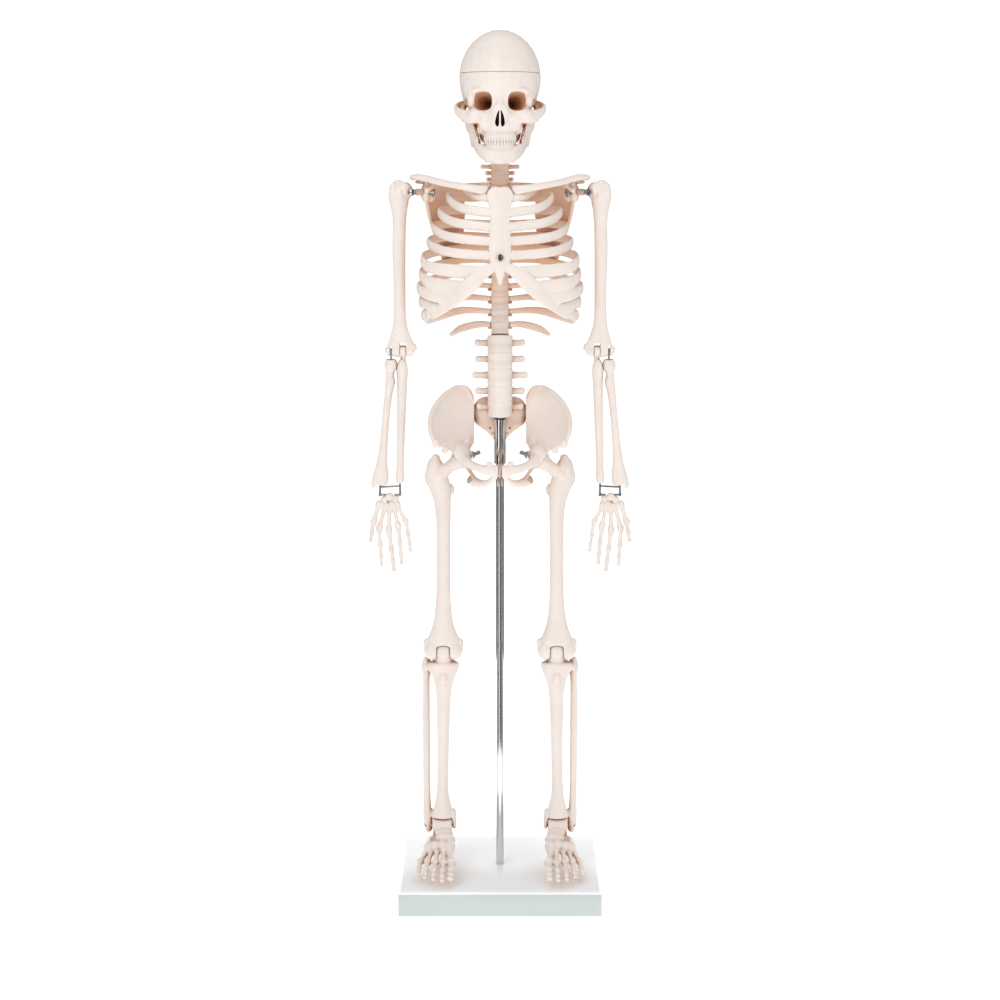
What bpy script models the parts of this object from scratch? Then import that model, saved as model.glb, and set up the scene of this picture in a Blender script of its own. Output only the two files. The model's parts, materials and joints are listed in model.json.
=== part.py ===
"""Classroom human skeleton, about half life size, hung on a rod that stands on a flat base plate.

Units are metres, +Z is up and the skeleton faces -Y. Its own left side is at +X. Every bone is drawn for
that side and mirrored for the other. The heights stack up from the floor: base, foot, shin, thigh, spine,
skull. Bone outlines are rows of millimetres about the landmark that each row's comment or function names.
"""

import math

import bmesh
import bpy
from mathutils import Matrix, Vector

MM = 0.001

# --- Driving sizes -------------------------------------------------------------------------------------
BASE_WIDTH = 200 * MM
BASE_DEPTH = 150 * MM
BASE_THICKNESS = 25 * MM
BASE_CHAMFER = 2.5 * MM
ROD_RADIUS = 4 * MM
SLEEVE_WALL = 1.2 * MM
SLEEVE_LENGTH = 44 * MM
COLLAR_HEIGHT = 2.4 * MM
ROD_ENGAGEMENT = 20 * MM
BOLT_RADIUS = 2.5 * MM
BOLT_ENGAGEMENT = 18 * MM
COUNTERBORE_DEPTH = 9 * MM
GAP = 0.3 * MM
PIN_RADIUS = 1.2 * MM
HIP_BOLT_RADIUS = 1.9 * MM
WIRE_RADIUS = 0.8 * MM

ANKLE_HEIGHT = 40.5 * MM
SHIN_LENGTH = 188.5 * MM
THIGH_LENGTH = 190 * MM
LOIN_HEIGHT = 42 * MM
LUMBAR_LENGTH = 79 * MM
THORACIC_LENGTH = 145 * MM
CERVICAL_LENGTH = 44 * MM
UPPER_ARM_LENGTH = 151.5 * MM
FOREARM_LENGTH = 141 * MM
ANKLE_SPREAD = 58.5 * MM
KNEE_SPREAD = 56 * MM
HIP_SPREAD = 39 * MM
CHEST_HALF_WIDTH = 77 * MM
ARM_CLEARANCE = 18.7 * MM
HEAD_RADIUS = 9.3 * MM
CONDYLE_RADIUS = 10 * MM
SKULL_WALL = 3 * MM

# --- Landmarks worked out from the driving sizes ----------------------------------------------------------
X_AXIS = Vector((1, 0, 0))
Y_AXIS = Vector((0, 1, 0))
Z_AXIS = Vector((0, 0, 1))

ANKLE = Vector((ANKLE_SPREAD, 1 * MM, BASE_THICKNESS + ANKLE_HEIGHT))
KNEE = Vector((KNEE_SPREAD, -14 * MM, ANKLE.z + SHIN_LENGTH))
HIP = Vector((HIP_SPREAD, -5 * MM, KNEE.z + THIGH_LENGTH))
LOIN = Vector((0, 3 * MM, HIP.z + LOIN_HEIGHT))
LUMBAR_TOP = Vector((0, 6 * MM, LOIN.z + LUMBAR_LENGTH))
THORAX_TOP = Vector((0, 11 * MM, LUMBAR_TOP.z + THORACIC_LENGTH))
NECK_TOP = Vector((0, 5 * MM, THORAX_TOP.z + CERVICAL_LENGTH))
SHOULDER = Vector((CHEST_HALF_WIDTH + 7 * MM, 0, THORAX_TOP.z - 9.5 * MM))
ARM = Vector((CHEST_HALF_WIDTH + ARM_CLEARANCE, 0, SHOULDER.z))
ELBOW = Vector((ARM.x + 1 * MM, 0, SHOULDER.z - UPPER_ARM_LENGTH))
WRIST = Vector((ARM.x + 12 * MM, 0, ELBOW.z - FOREARM_LENGTH))
JAW = Vector((30 * MM, -5 * MM, NECK_TOP.z + 16 * MM))
CAP_CUT = NECK_TOP.z + 56 * MM
VAULT = Vector((0, 1 * MM, NECK_TOP.z + 52 * MM))
VAULT_RADII = (38.4 * MM, 48 * MM, 44 * MM)
HIP_AXIS = Vector((math.cos(math.radians(20)), 0, -math.sin(math.radians(20))))
SACRAL_SIDE = 24.6 * MM

SIDES = {"left": 1, "right": -1}


def at(origin, x, y, z):
    """The point this many millimetres from origin."""
    return origin + Vector((x, y, z)) * MM


# --- Shape kit -------------------------------------------------------------------------------------------
def mesh_from(bm):
    bmesh.ops.recalc_face_normals(bm, faces=bm.faces)
    if bm.calc_volume(signed=True) < 0:
        bmesh.ops.reverse_faces(bm, faces=bm.faces)
    mesh = bpy.data.meshes.new("shape")
    bm.to_mesh(mesh)
    bm.free()
    return mesh


def loft(rings):
    """A closed body skinned over rings of equally many points."""
    bm = bmesh.new()
    rows = [[bm.verts.new(point) for point in ring] for ring in rings]
    for lower, upper in zip(rows, rows[1:]):
        for i in range(len(lower)):
            bm.faces.new((lower[i - 1], lower[i], upper[i], upper[i - 1]))
    bm.faces.new(rows[0])
    bm.faces.new(rows[-1])
    return mesh_from(bm)


def tube(rows, across=X_AXIS, sides=8, round_ends=True):
    """A closed limb through rows of (point, half width along across, half depth)."""
    points = [row[0] for row in rows]
    rings = []
    for i, (point, width, depth) in enumerate(rows):
        tangent = (points[min(i + 1, len(rows) - 1)] - points[max(i - 1, 0)]).normalized()
        side = (across - across.dot(tangent) * tangent).normalized()
        rings.append((point, tangent, side, tangent.cross(side), width, depth))
    if round_ends:
        first, last = rings[0], rings[-1]
        for end, way, index in ((first, -1, 0), (last, 1, len(rings) + 1)):
            point, tangent, side, front, width, depth = end
            outer = point + tangent * way * 0.45 * min(width, depth)
            rings.insert(index, (outer, tangent, side, front, 0.6 * width, 0.6 * depth))
    turns = [2 * math.pi * (i + 0.5) / sides for i in range(sides)]
    return loft(
        [
            [point + side * width * math.cos(a) + front * depth * math.sin(a) for a in turns]
            for point, _, side, front, width, depth in rings
        ]
    )


def limb(top, bottom, rows, **options):
    """A tube along the line top-bottom, from rows of (share, x offset, y offset, half width, half depth)."""
    return tube(
        [(at(top.lerp(bottom, t), x, y, 0), width * MM, depth * MM) for t, x, y, width, depth in rows],
        **options,
    )


def path(origin, rows, **options):
    """A tube through rows of (x, y, z, half width, half depth) in millimetres from origin."""
    return tube([(at(origin, x, y, z), w * MM, d * MM) for x, y, z, w, d in rows], **options)


def ball(centre, radii, segments=10, rings=6):
    bm = bmesh.new()
    bmesh.ops.create_uvsphere(bm, u_segments=segments, v_segments=rings, radius=1)
    bm.transform(Matrix.Translation(centre) @ Matrix.Diagonal((*radii, 1)))
    return mesh_from(bm)


def knob(origin, x, y, z, radii, **options):
    """An ellipsoid given in millimetres from origin."""
    return ball(at(origin, x, y, z), [radius * MM for radius in radii], **options)


def cylinder(start, end, radius, sides=12):
    bm = bmesh.new()
    span = end - start
    bmesh.ops.create_cone(
        bm, cap_ends=True, segments=sides, radius1=radius, radius2=radius, depth=span.length
    )
    bm.transform(
        Matrix.Translation((start + end) / 2) @ span.to_track_quat("Z", "Y").to_matrix().to_4x4()
    )
    return mesh_from(bm)


def turned(origin, profile, sides=16):
    """A body turned about the vertical through origin, from (radius, height) rows in metres."""
    turns = [2 * math.pi * i / sides for i in range(sides)]
    return loft(
        [[origin + Vector((r * math.cos(a), r * math.sin(a), z)) for a in turns] for r, z in profile]
    )


def block(low, high):
    bm = bmesh.new()
    bmesh.ops.create_cube(bm, size=1)
    bm.transform(Matrix.Translation((low + high) / 2) @ Matrix.Diagonal((*(high - low), 1)))
    return mesh_from(bm)


def blade(origin, sections, thickness, steps=5):
    """A thin curved plate through sections (z, (x, y) back edge, (x, y) front edge, bulge outwards)."""
    rings = []
    for z, back, front, bulge in sections:
        start, end = Vector(back), Vector(front)
        normal = (end - start).orthogonal().normalized()
        if normal.x < 0:
            normal = -normal
        inner, outer = [], []
        for i in range(steps):
            share = i / (steps - 1)
            middle = start.lerp(end, share) + normal * bulge * 4 * share * (1 - share)
            half = thickness * (0.45 + 0.55 * math.sin(math.pi * share))
            outer.append(at(origin, *(middle + normal * half), z))
            inner.append(at(origin, *(middle - normal * half), z))
        rings.append(outer + inner[::-1])
    return loft(rings)


def boolean(target, tools, operation):
    """target's mesh joined with, or cut by, every tool's mesh."""
    if not tools:
        return target
    helpers = bpy.data.collections.new("helpers")
    bpy.context.scene.collection.children.link(helpers)
    body = bpy.data.objects.new("body", target)
    bpy.context.scene.collection.objects.link(body)
    for tool in tools:
        helpers.objects.link(bpy.data.objects.new("tool", tool))
    modifier = body.modifiers.new("join", "BOOLEAN")
    modifier.operation = operation
    modifier.operand_type = "COLLECTION"
    modifier.collection = helpers
    modifier.solver = "EXACT"
    graph = bpy.context.evaluated_depsgraph_get()
    result = bpy.data.meshes.new_from_object(body.evaluated_get(graph))
    for helper in [*helpers.objects, body]:
        bpy.data.objects.remove(helper)
    bpy.data.collections.remove(helpers)
    return result


def carve(shapes, cutters=()):
    """One body: the union of shapes, less every cutter."""
    joined = boolean(shapes[0], shapes[1:], "UNION")
    return boolean(joined, list(cutters), "DIFFERENCE")


# --- Objects -----------------------------------------------------------------------------------------------
FINISHES = {
    "bone": ((0.82, 0.72, 0.62), 0.35, 0.0),
    "chrome": ((0.62, 0.63, 0.65), 0.12, 1.0),
    "steel": ((0.45, 0.45, 0.47), 0.3, 1.0),
    "dark": ((0.05, 0.05, 0.055), 0.4, 0.0),
    "spacer": ((0.62, 0.42, 0.34), 0.4, 0.0),
    "board": ((0.8, 0.82, 0.82), 0.25, 0.0),
}


def material_of(name, finish):
    colour, roughness, metallic = FINISHES[finish]
    material = bpy.data.materials.new(name)
    material.use_nodes = True
    shader = material.node_tree.nodes["Principled BSDF"]
    shader.inputs["Base Color"].default_value = (*colour, 1)
    shader.inputs["Roughness"].default_value = roughness
    shader.inputs["Metallic"].default_value = metallic
    return material


def pivot(name, place, parent=None):
    """An empty on a joint's axis, which the pieces that move about that joint hang from."""
    empty = bpy.data.objects.new(name, None)
    bpy.context.scene.collection.objects.link(empty)
    empty.parent = parent
    empty.location = place - world_of(parent)
    empty["place"] = tuple(place)
    return empty


def world_of(empty):
    return Vector(empty["place"]) if empty else Vector()


def piece(name, mesh, finish, parent):
    """A sub-part as its own object, whose origin is its parent empty."""
    mesh.transform(Matrix.Translation(-world_of(parent)))
    mesh.name = name
    mesh.materials.clear()
    mesh.materials.append(material_of(name, finish))
    mesh.shade_smooth()
    mesh.set_sharp_from_angle(angle=math.radians(40))
    made = bpy.data.objects.new(name, mesh)
    bpy.context.scene.collection.objects.link(made)
    made.parent = parent
    return made


def mirrored(mesh, side):
    if side < 0:
        mesh.transform(Matrix.Diagonal((-1, 1, 1, 1)))
        mesh.flip_normals()
    return mesh


def flipped(place, side):
    return Vector((place.x * side, place.y, place.z))


# --- Stand -------------------------------------------------------------------------------------------------
BOLT_CLEARANCE_HOLE = BOLT_RADIUS + GAP
BOLT_HEAD_RADIUS = BOLT_RADIUS * 1.8
WASHER_RADIUS = BOLT_RADIUS * 2.4
WASHER_HEIGHT = 1 * MM
ROD_FOOT = BASE_THICKNESS + GAP
SLEEVE_RADIUS = ROD_RADIUS + GAP + SLEEVE_WALL
COLLAR_TOP = LOIN.z - GAP
SLEEVE_TOP = COLLAR_TOP - COLLAR_HEIGHT - GAP


def base_plate():
    half = Vector((BASE_WIDTH / 2, BASE_DEPTH / 2, 0))
    bm = bmesh.new()
    bmesh.ops.create_cube(bm, size=1)
    bm.transform(
        Matrix.Translation((0, 0, BASE_THICKNESS / 2)) @ Matrix.Diagonal(
            (half.x * 2, half.y * 2, BASE_THICKNESS, 1)
        )
    )
    upper = [e for e in bm.edges if all(v.co.z > BASE_THICKNESS / 2 for v in e.verts)]
    bmesh.ops.bevel(bm, geom=upper, offset=BASE_CHAMFER, segments=1, affect="EDGES")
    hole = cylinder(
        Vector((0, 0, -BASE_THICKNESS)), Vector((0, 0, 2 * BASE_THICKNESS)), BOLT_CLEARANCE_HOLE
    )
    recess = cylinder(
        Vector((0, 0, -BASE_THICKNESS)), Vector((0, 0, COUNTERBORE_DEPTH)), WASHER_RADIUS + 2 * GAP, sides=24
    )
    return carve([mesh_from(bm)], [hole, recess])


def base_washer():
    low = COUNTERBORE_DEPTH - GAP - WASHER_HEIGHT
    ring = turned(Vector(), [(WASHER_RADIUS, low), (WASHER_RADIUS, low + WASHER_HEIGHT)])
    hole = cylinder(Vector((0, 0, 0)), Vector((0, 0, BASE_THICKNESS)), BOLT_CLEARANCE_HOLE)
    return carve([ring], [hole])


def base_bolt():
    seat = COUNTERBORE_DEPTH - 2 * GAP - WASHER_HEIGHT
    end = ROD_FOOT + BOLT_ENGAGEMENT - 2 * MM
    head = [
        (BOLT_HEAD_RADIUS, seat - 4.5 * MM),
        (BOLT_HEAD_RADIUS, seat),
        (BOLT_RADIUS, seat),
        (BOLT_RADIUS, end),
    ]
    return turned(Vector(), head, sides=16)


def stand_rod():
    top = LOIN.z + ROD_ENGAGEMENT - 1 * MM
    shaft = [(ROD_RADIUS, ROD_FOOT), (ROD_RADIUS, top - 1 * MM), (ROD_RADIUS - 1 * MM, top)]
    bore = cylinder(Vector((0, 0, 0)), Vector((0, 0, ROD_FOOT + BOLT_ENGAGEMENT)), BOLT_CLEARANCE_HOLE)
    return carve([turned(Vector(), shaft)], [bore])


def rod_sleeve():
    foot = SLEEVE_TOP - SLEEVE_LENGTH
    profile = [
        (SLEEVE_RADIUS - 0.8 * MM, foot), (SLEEVE_RADIUS, foot + 1.2 * MM), (SLEEVE_RADIUS, SLEEVE_TOP)
    ]
    bore = cylinder(Vector((0, 0, 0)), Vector((0, 0, LOIN.z)), ROD_RADIUS + GAP, sides=16)
    return carve([turned(Vector(), profile)], [bore])


def rod_collar():
    radius = SLEEVE_RADIUS + 0.5 * MM
    foot = COLLAR_TOP - COLLAR_HEIGHT
    bore = cylinder(Vector((0, 0, 0)), Vector((0, 0, LOIN.z * 1.2)), ROD_RADIUS + GAP, sides=20)
    return carve([turned(Vector(), [(radius, foot), (radius, COLLAR_TOP)])], [bore])


# --- Pelvis ------------------------------------------------------------------------------------------------
COLUMN_RADII = (12.4 * MM, 10.5 * MM)
HIP_BORE = HIP_BOLT_RADIUS + GAP


def sacrum():
    """Wedge between the hip bones, from its wings down to the tail bone."""
    wedge = path(
        LOIN,
        [
            (0, 13, 14, SACRAL_SIDE / MM - 2, 5),
            (0, 11, 7, SACRAL_SIDE / MM, 8),
            (0, 14, -5, SACRAL_SIDE / MM - 1.5, 8),
            (0, 20, -14, 15, 6.5),
            (0, 25, -23, 8, 4.5),
            (0, 25, -32, 4, 3),
        ],
        sides=12,
    )
    seat = cylinder(at(LOIN, 0, 0, -GAP / MM), at(LOIN, 0, 0, 40), COLUMN_RADII[0] + 2 * GAP, sides=24)
    sleeve = cylinder(
        Vector((0, 0, HIP.z - 60 * MM)), Vector((0, 0, LOIN.z + 1 * MM)), SLEEVE_RADIUS + 4 * GAP
    )
    return carve([wedge], [seat, sleeve])


def hip_bone():
    """Wing, socket, pubic bar and sitting loop, with the socket cut for the ball of the thigh bone."""
    wing = blade(
        HIP,
        [
            (9, (-2, 4), (10, -9), 0),
            (15, (-7, 13), (19, -27), 3),
            (22, (-11, 20), (24, -32), 4),
            (31, (-13, 27), (28, -29), 5),
            (42, (-13, 31), (28, -20), 5),
            (53, (-11, 34), (23, -7), 5),
            (62, (-7, 34), (13, 7), 4),
            (67, (-3, 31), (5, 19), 2),
        ],
        3.0,
    )
    socket = knob(HIP, 0.5, 1, 3, (14, 14, 14.5))
    bar = path(
        HIP,
        [(-2, -6, 2, 7, 6), (-12, -17, -2, 4.5, 4.5), (-24, -24, -5, 4, 4.5), (-35.2, -27, -7, 6.5, 4)],
        across=Z_AXIS,
    )
    lower = path(
        HIP,
        [
            (-35.4, -27, -9, 3.5, 3),
            (-30, -22, -18, 3, 3),
            (-21, -10, -22.5, 3.5, 3.5),
            (-12, 0, -21.5, 4.5, 4.5),
        ],
        across=Y_AXIS,
    )
    seat = path(HIP, [(2, 6, -4, 7, 6), (-3, 11, -13, 6.5, 5.5), (-12, 4, -21, 5, 5)], across=Y_AXIS)
    back = knob(HIP, -10.5, 25, 39, (5, 7, 14))
    rim = at(HIP, 0, 0, 0) + Vector((0.81, 0, -0.59)) * 1.5 * MM
    outside = block(Vector((-1, -1, 0)) * 40 * MM, Vector((1, 1, 1)) * 40 * MM)
    outside.transform(
        Matrix.Translation(rim) @ Vector((0.81, 0, -0.59)).to_track_quat("Z", "Y").to_matrix().to_4x4()
    )
    outside = carve([outside], [block(at(HIP, 14, -60, 8), at(HIP, 70, 60, 60))])
    cup = ball(HIP, [HEAD_RADIUS + 0.9 * MM] * 3, segments=14, rings=8)
    bore = cylinder(HIP - HIP_AXIS * 40 * MM, HIP, HIP_BORE)
    joint_face = block(
        Vector((-60 * MM, 5 * MM, LOIN.z - 40 * MM)), Vector((SACRAL_SIDE + GAP, 0.1, LOIN.z + 40 * MM))
    )
    middle = block(
        Vector((-50 * MM, -0.1, HIP.z - 50 * MM)), Vector((GAP + 0.7 * MM, 0.1, HIP.z + 50 * MM))
    )
    return carve([wing, socket, bar, lower, seat, back], [outside, cup, bore, joint_face, middle])


def pubic_disc():
    height = 6.5 * MM
    place = at(HIP, -HIP_SPREAD / MM, -27, -7)
    return ball(place, (0.7 * MM, 3.6 * MM, height), segments=12, rings=6)


def hip_bolt():
    """Bolt through the socket into the ball, with its lock nut on the inner side."""
    shank = cylinder(HIP - HIP_AXIS * 21 * MM, HIP + HIP_AXIS * 9 * MM, HIP_BOLT_RADIUS, sides=12)
    nut = cylinder(HIP - HIP_AXIS * 18 * MM, HIP - HIP_AXIS * 14.8 * MM, 3.6 * MM, sides=6)
    return carve([shank, nut])


# --- Spine -------------------------------------------------------------------------------------------------
def column(low, high, count, width, depth, waist, bow):
    """Vertebral bodies and discs as one waisted pillar, bowed forward (negative) or back in the middle."""
    sides = 8
    rings = []
    for i in range(2 * count + 1):
        t = i / (2 * count)
        rings.append((column_point(low, high, bow, t), waist if i % 2 else 1.0))
    turns = [2 * math.pi * (i + 0.5) / sides for i in range(sides)]
    return loft(
        [
            [c + Vector((width * s * math.cos(a), depth * s * math.sin(a), 0)) for a in turns] for c, s in rings
        ]
    )


def column_point(low, high, bow, t):
    return low.lerp(high, t) + Y_AXIS * bow * math.sin(math.pi * t)


LUMBAR_BOW = -4 * MM
THORACIC_BOW = 13 * MM


def lumbar_spine():
    low, high = LOIN, LUMBAR_TOP - Z_AXIS * GAP
    shapes = [column(low, high, 5, *COLUMN_RADII, 0.9, LUMBAR_BOW)]
    for t, span in ((0.27, 22.6), (0.39, 21.2), (0.55, 24.5), (0.74, 21.7), (0.93, 20.6)):
        centre = column_point(low, high, LUMBAR_BOW, t)
        shapes.append(
            path(
                centre,
                [(-span, 8, 1, 2, 2.2), (0, 6, 0, 2.6, 3), (span, 8, 1, 2, 2.2)],
                across=Z_AXIS,
                sides=6,
            )
        )
        shapes.append(
            path(centre, [(0, 8, 0, 2.4, 4.6), (0, 25, -2, 1.8, 4.8)], sides=4, round_ends=False)
        )
    bore = cylinder(
        Vector((0, 0, 0)), Vector((0, 0, LOIN.z + ROD_ENGAGEMENT)), ROD_RADIUS + GAP, sides=20
    )
    return carve(shapes, [bore])


def thoracic_spine():
    low, high = LUMBAR_TOP, THORAX_TOP - Z_AXIS * GAP
    shapes = [column(low, high, 12, 8.6 * MM, 8.2 * MM, 0.9, THORACIC_BOW)]
    for i in range(12):
        centre = column_point(low, high, THORACIC_BOW, (i + 0.45) / 12)
        shapes.append(
            path(centre, [(0, 6, 0, 2.2, 3.8), (0, 18, -5, 1.6, 2.8)], sides=4, round_ends=False)
        )
    return carve(shapes)


def cervical_spine():
    low, high = THORAX_TOP, NECK_TOP - Z_AXIS * 3 * MM
    shapes = [column(low, high, 7, 8.8 * MM, 7.6 * MM, 0.92, -3 * MM)]
    for t, span in ((0.1, 16), (0.31, 18), (0.93, 15)):
        centre = column_point(low, high, -3 * MM, t)
        shapes.append(
            path(
                centre,
                [(-span, 3, -1, 1.4, 2), (0, 2, 1, 2.8, 3.4), (span, 3, -1, 1.4, 2)],
                across=Z_AXIS,
                sides=6,
            )
        )
    for t in (0.1, 0.4, 0.7):
        centre = column_point(low, high, -3 * MM, t)
        shapes.append(
            path(centre, [(0, 4, 0, 2.2, 2.8), (0, 16, -4, 1.7, 2.5)], sides=4, round_ends=False)
        )
    bore = cylinder(at(NECK_TOP, 0, 0, -14), at(NECK_TOP, 0, 0, 10), NECK_PIN_RADIUS + GAP)
    return carve(shapes, [bore])


# --- Rib cage ----------------------------------------------------------------------------------------------
RIBS = 11
RIB_PITCH = 14.05
RIB_HEIGHT = 1.3 * MM
RIB_DEPTH = 2.4 * MM
RIB_WIDTHS = (0.45, 0.645, 0.751, 0.83, 0.888, 0.938, 0.965, 1.0, 0.98, 0.955, 0.9)
STERNUM_INSIDE = 7 * MM
ARCH = ((15, -58, 64.5), (27, -57, 53), (40, -51, 41), (52, -41, 29), (62, -27, 16.5))


def spline(points, count):
    """count points evenly along a Catmull-Rom curve through points."""
    ends = [2 * points[0] - points[1], *points, 2 * points[-1] - points[-2]]
    out = []
    for i in range(count):
        place = i / (count - 1) * (len(points) - 1)
        k = min(int(place), len(points) - 2)
        t = place - k
        a, b, c, d = ends[k : k + 4]
        out.append(
            0.5 * (
                2 * b + (c - a) * t + (2 * a - 5 * b + 4 * c - d) * t * t + (3 * b - a - 3 * c + d) * t ** 3
            )
        )
    return out


def rib(index):
    """Rib number index + 1, from the side of its vertebra round to the sternum or the costal arch."""
    t = 1 - (index + 0.12) / 12
    spine = column_point(LUMBAR_TOP, THORAX_TOP, THORACIC_BOW, t)
    width = CHEST_HALF_WIDTH * RIB_WIDTHS[index] / MM
    side = at(spine, 9.4, 2, 0)
    back = at(spine, 0.55 * width, 20 - 3 * (index == 0), -1)
    flank = Vector((width * MM, (3 + 0.4 * index) * MM, THORAX_TOP.z + min(2 - RIB_PITCH * index, -4) * MM))
    if index < 5:
        front_z = THORAX_TOP.z - (13 + 13 * index) * MM
        sternal = Vector((STERNUM_INSIDE, -(47 + 2.5 * index) * MM, front_z))
        cheek = Vector((0.74 * width * MM, -(34 + 2 * index) * MM, (2 * front_z + flank.z) / 3))
        points = [side, back, flank, cheek, sternal]
    else:
        joint = at(Vector((0, 0, LUMBAR_TOP.z)), *ARCH[min(index - 5, 4)])
        joint = joint.lerp(at(Vector((0, 0, LUMBAR_TOP.z)), *ARCH[min(index - 4, 4)]), 0.4)
        cheek = Vector((0.9 * width * MM, (joint.y * 0.62), (joint.z * 0.62 + flank.z * 0.38)))
        points = [side, back, flank, cheek, joint]
    if index == RIBS - 1:
        points = [side, back, flank, at(Vector((0, 0, LUMBAR_TOP.z)), 66, -20, 19)]
    heights = [2.4, 3.6, 4.2, 4.4, 4.4] if index else [2.4, 3.2, 3.6, 3.6, 3.6]
    curve = spline(points, 9)
    rows = []
    for i, point in enumerate(curve):
        share = i / 8 * 4
        k = min(int(share), 3)
        height = heights[k] + (heights[k + 1] - heights[k]) * (share - k)
        rows.append((point, height * RIB_HEIGHT, RIB_DEPTH))
    return tube(rows, across=Z_AXIS, sides=4, round_ends=False)


def sternum():
    """Breast bone with its pointed tip, seen narrow between the ribs."""
    top = Vector((0, 0, THORAX_TOP.z))
    return path(
        top,
        [
            (0, -45, -4.5, 9, 2.6),
            (0, -45.5, -8, 12.3, 3),
            (0, -48, -20, 10.4, 3),
            (0, -50, -30, 9.8, 2.8),
            (0, -54, -52, 11, 2.8),
            (0, -57.5, -69, 10.8, 3),
            (0, -58, -75, 6.5, 2.6),
            (0, -58.5, -83, 3.6, 2),
            (0, -58, -90, 1.4, 1.4),
        ],
    )


def rib_cage():
    """Sternum, ribs 1 to 11 of both sides and the costal arches, moulded as one."""
    halves = [rib(i) for i in range(RIBS)]
    low = Vector((0, 0, LUMBAR_TOP.z))
    arch = [(1, -58, 73), *ARCH, (64, -16, 15)]
    heights = (4, 6.5, 8, 8.5, 8, 7, 4)
    halves.append(path(low, [(*p, h, 1.8) for p, h in zip(arch, heights)], across=Z_AXIS, sides=8))
    others = [mirrored(half.copy(), -1) for half in halves]
    screw = sternum_screw_place()
    bore = cylinder(screw - Y_AXIS * 20 * MM, screw + Y_AXIS * 20 * MM, SCREW_RADIUS + GAP, sides=12)
    return carve([sternum(), *halves, *others], [bore])


SCREW_RADIUS = 1.5 * MM


def sternum_screw_place():
    return Vector((0, -57 * MM, THORAX_TOP.z - 66 * MM))


def sternum_screw():
    place = sternum_screw_place()
    front = place - Y_AXIS * 3.4 * MM
    head = cylinder(front - Y_AXIS * 1.6 * MM, front, 3.2 * MM, sides=14)
    shank = cylinder(front - Y_AXIS * 1 * MM, place + Y_AXIS * 7 * MM, SCREW_RADIUS, sides=12)
    return carve([head, shank])


def floating_rib():
    spine = column_point(LUMBAR_TOP, THORAX_TOP, THORACIC_BOW, 0.07)
    points = [at(spine, 9.6, 2, 0), at(spine, 22, 13, -1), at(spine, 38, 12, -5), at(spine, 48, 2, -10)]
    sizes = ((2.6, 2), (3.2, 1.9), (3.4, 1.9), (3.4, 1.8), (3, 1.6), (2, 1.4))
    return tube(
        [(p, h * MM, d * MM) for p, (h, d) in zip(spline(points, 6), sizes)], across=Z_AXIS, sides=5
    )


# --- Shoulder girdle ---------------------------------------------------------------------------------------
SHOULDER_BORE = PIN_RADIUS + 2 * GAP + GAP


def clavicle():
    inner = Vector((0, 0, THORAX_TOP.z))
    reach = SHOULDER.x / MM
    return path(
        inner,
        [
            (14.2, -41, -5.4, 3.4, 3.2),
            (26, -43, -3.6, 2.9, 2.8),
            (42, -36, -1.5, 2.8, 2.6),
            (0.74 * reach, -20, 2.2, 3.2, 2.4),
            (0.9 * reach, -7, 5.6, 4.4, 2.4),
            (0.97 * reach, 0, 5.9, 4.2, 2.2),
        ],
        across=Y_AXIS,
    )


def scapula():
    """Blade behind the ribs, its spine ending over the joint, and the socket block that takes the bolt."""
    sheet = blade(
        Vector((SHOULDER.x, 0, SHOULDER.z)),
        [
            (-74, (-33.5, 44), (-31, 41), 0),
            (-62, (-41, 47), (-28, 34), 1),
            (-45, (-46, 50), (-22, 27), 2),
            (-28, (-48, 51), (-17, 20), 2),
            (-12, (-48, 51), (-14, 13), 2),
            (2, (-47, 50), (-14, 11), 2),
            (9, (-45, 48), (-26, 27), 1),
        ],
        1.8,
        steps=5,
    )
    socket = knob(SHOULDER, -14, 4, -1, (5.5, 8, 9))
    ridge = path(
        SHOULDER,
        [
            (-44, 49, 3, 3, 2),
            (-30, 36, 6, 4, 2),
            (-18, 22, 8.6, 4, 2),
            (-8, 9, 9.4, 4.5, 1.9),
            (-4, 2, 9.4, 4, 1.7),
        ],
        across=Y_AXIS,
        sides=6,
    )
    beak = path(
        SHOULDER,
        [(-18, 4, 4, 3, 3), (-19, -6, 4, 2.6, 2.6), (-15, -12, 2, 2.4, 2.4)],
        across=Z_AXIS,
        sides=6,
    )
    bore = cylinder(at(SHOULDER, -60, 0, 0), at(SHOULDER, 0, 0, 0), SHOULDER_BORE)
    washer_seat = cylinder(at(SHOULDER, -60, 0, 0), at(SHOULDER, -19.5, 0, 0), 6 * MM, sides=16)
    neck = knob(SHOULDER, -18, 8, -2, (5, 7, 8))
    return carve([sheet, socket, ridge, beak, neck], [bore, washer_seat])


def shoulder_bolt():
    """Eye bolt that turns in the socket block: shank, retaining head inside, flat eye outside."""
    shank = cylinder(at(SHOULDER, -23, 0, 0), at(SHOULDER, -2, 0, 0), PIN_RADIUS + 0.3 * MM, sides=12)
    head = cylinder(at(SHOULDER, -22.5, 0, 0), at(SHOULDER, -20, 0, 0), 3 * MM, sides=6)
    eye = cylinder(at(SHOULDER, 0, -1.4, 0), at(SHOULDER, 0, 1.4, 0), 3.4 * MM, sides=16)
    hole = cylinder(at(SHOULDER, 0, -9, 0), at(SHOULDER, 0, 9, 0), PIN_RADIUS + GAP, sides=12)
    return carve([shank, head, eye], [hole])


def shoulder_sleeve():
    """Spacer round the bolt between the socket block and the eye."""
    tube_body = cylinder(at(SHOULDER, -8.2, 0, 0), at(SHOULDER, -4, 0, 0), 2.9 * MM, sides=14)
    bore = cylinder(
        at(SHOULDER, -20, 0, 0), at(SHOULDER, 2, 0, 0), PIN_RADIUS + 0.3 * MM + GAP, sides=14
    )
    return carve([tube_body], [bore])


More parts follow.
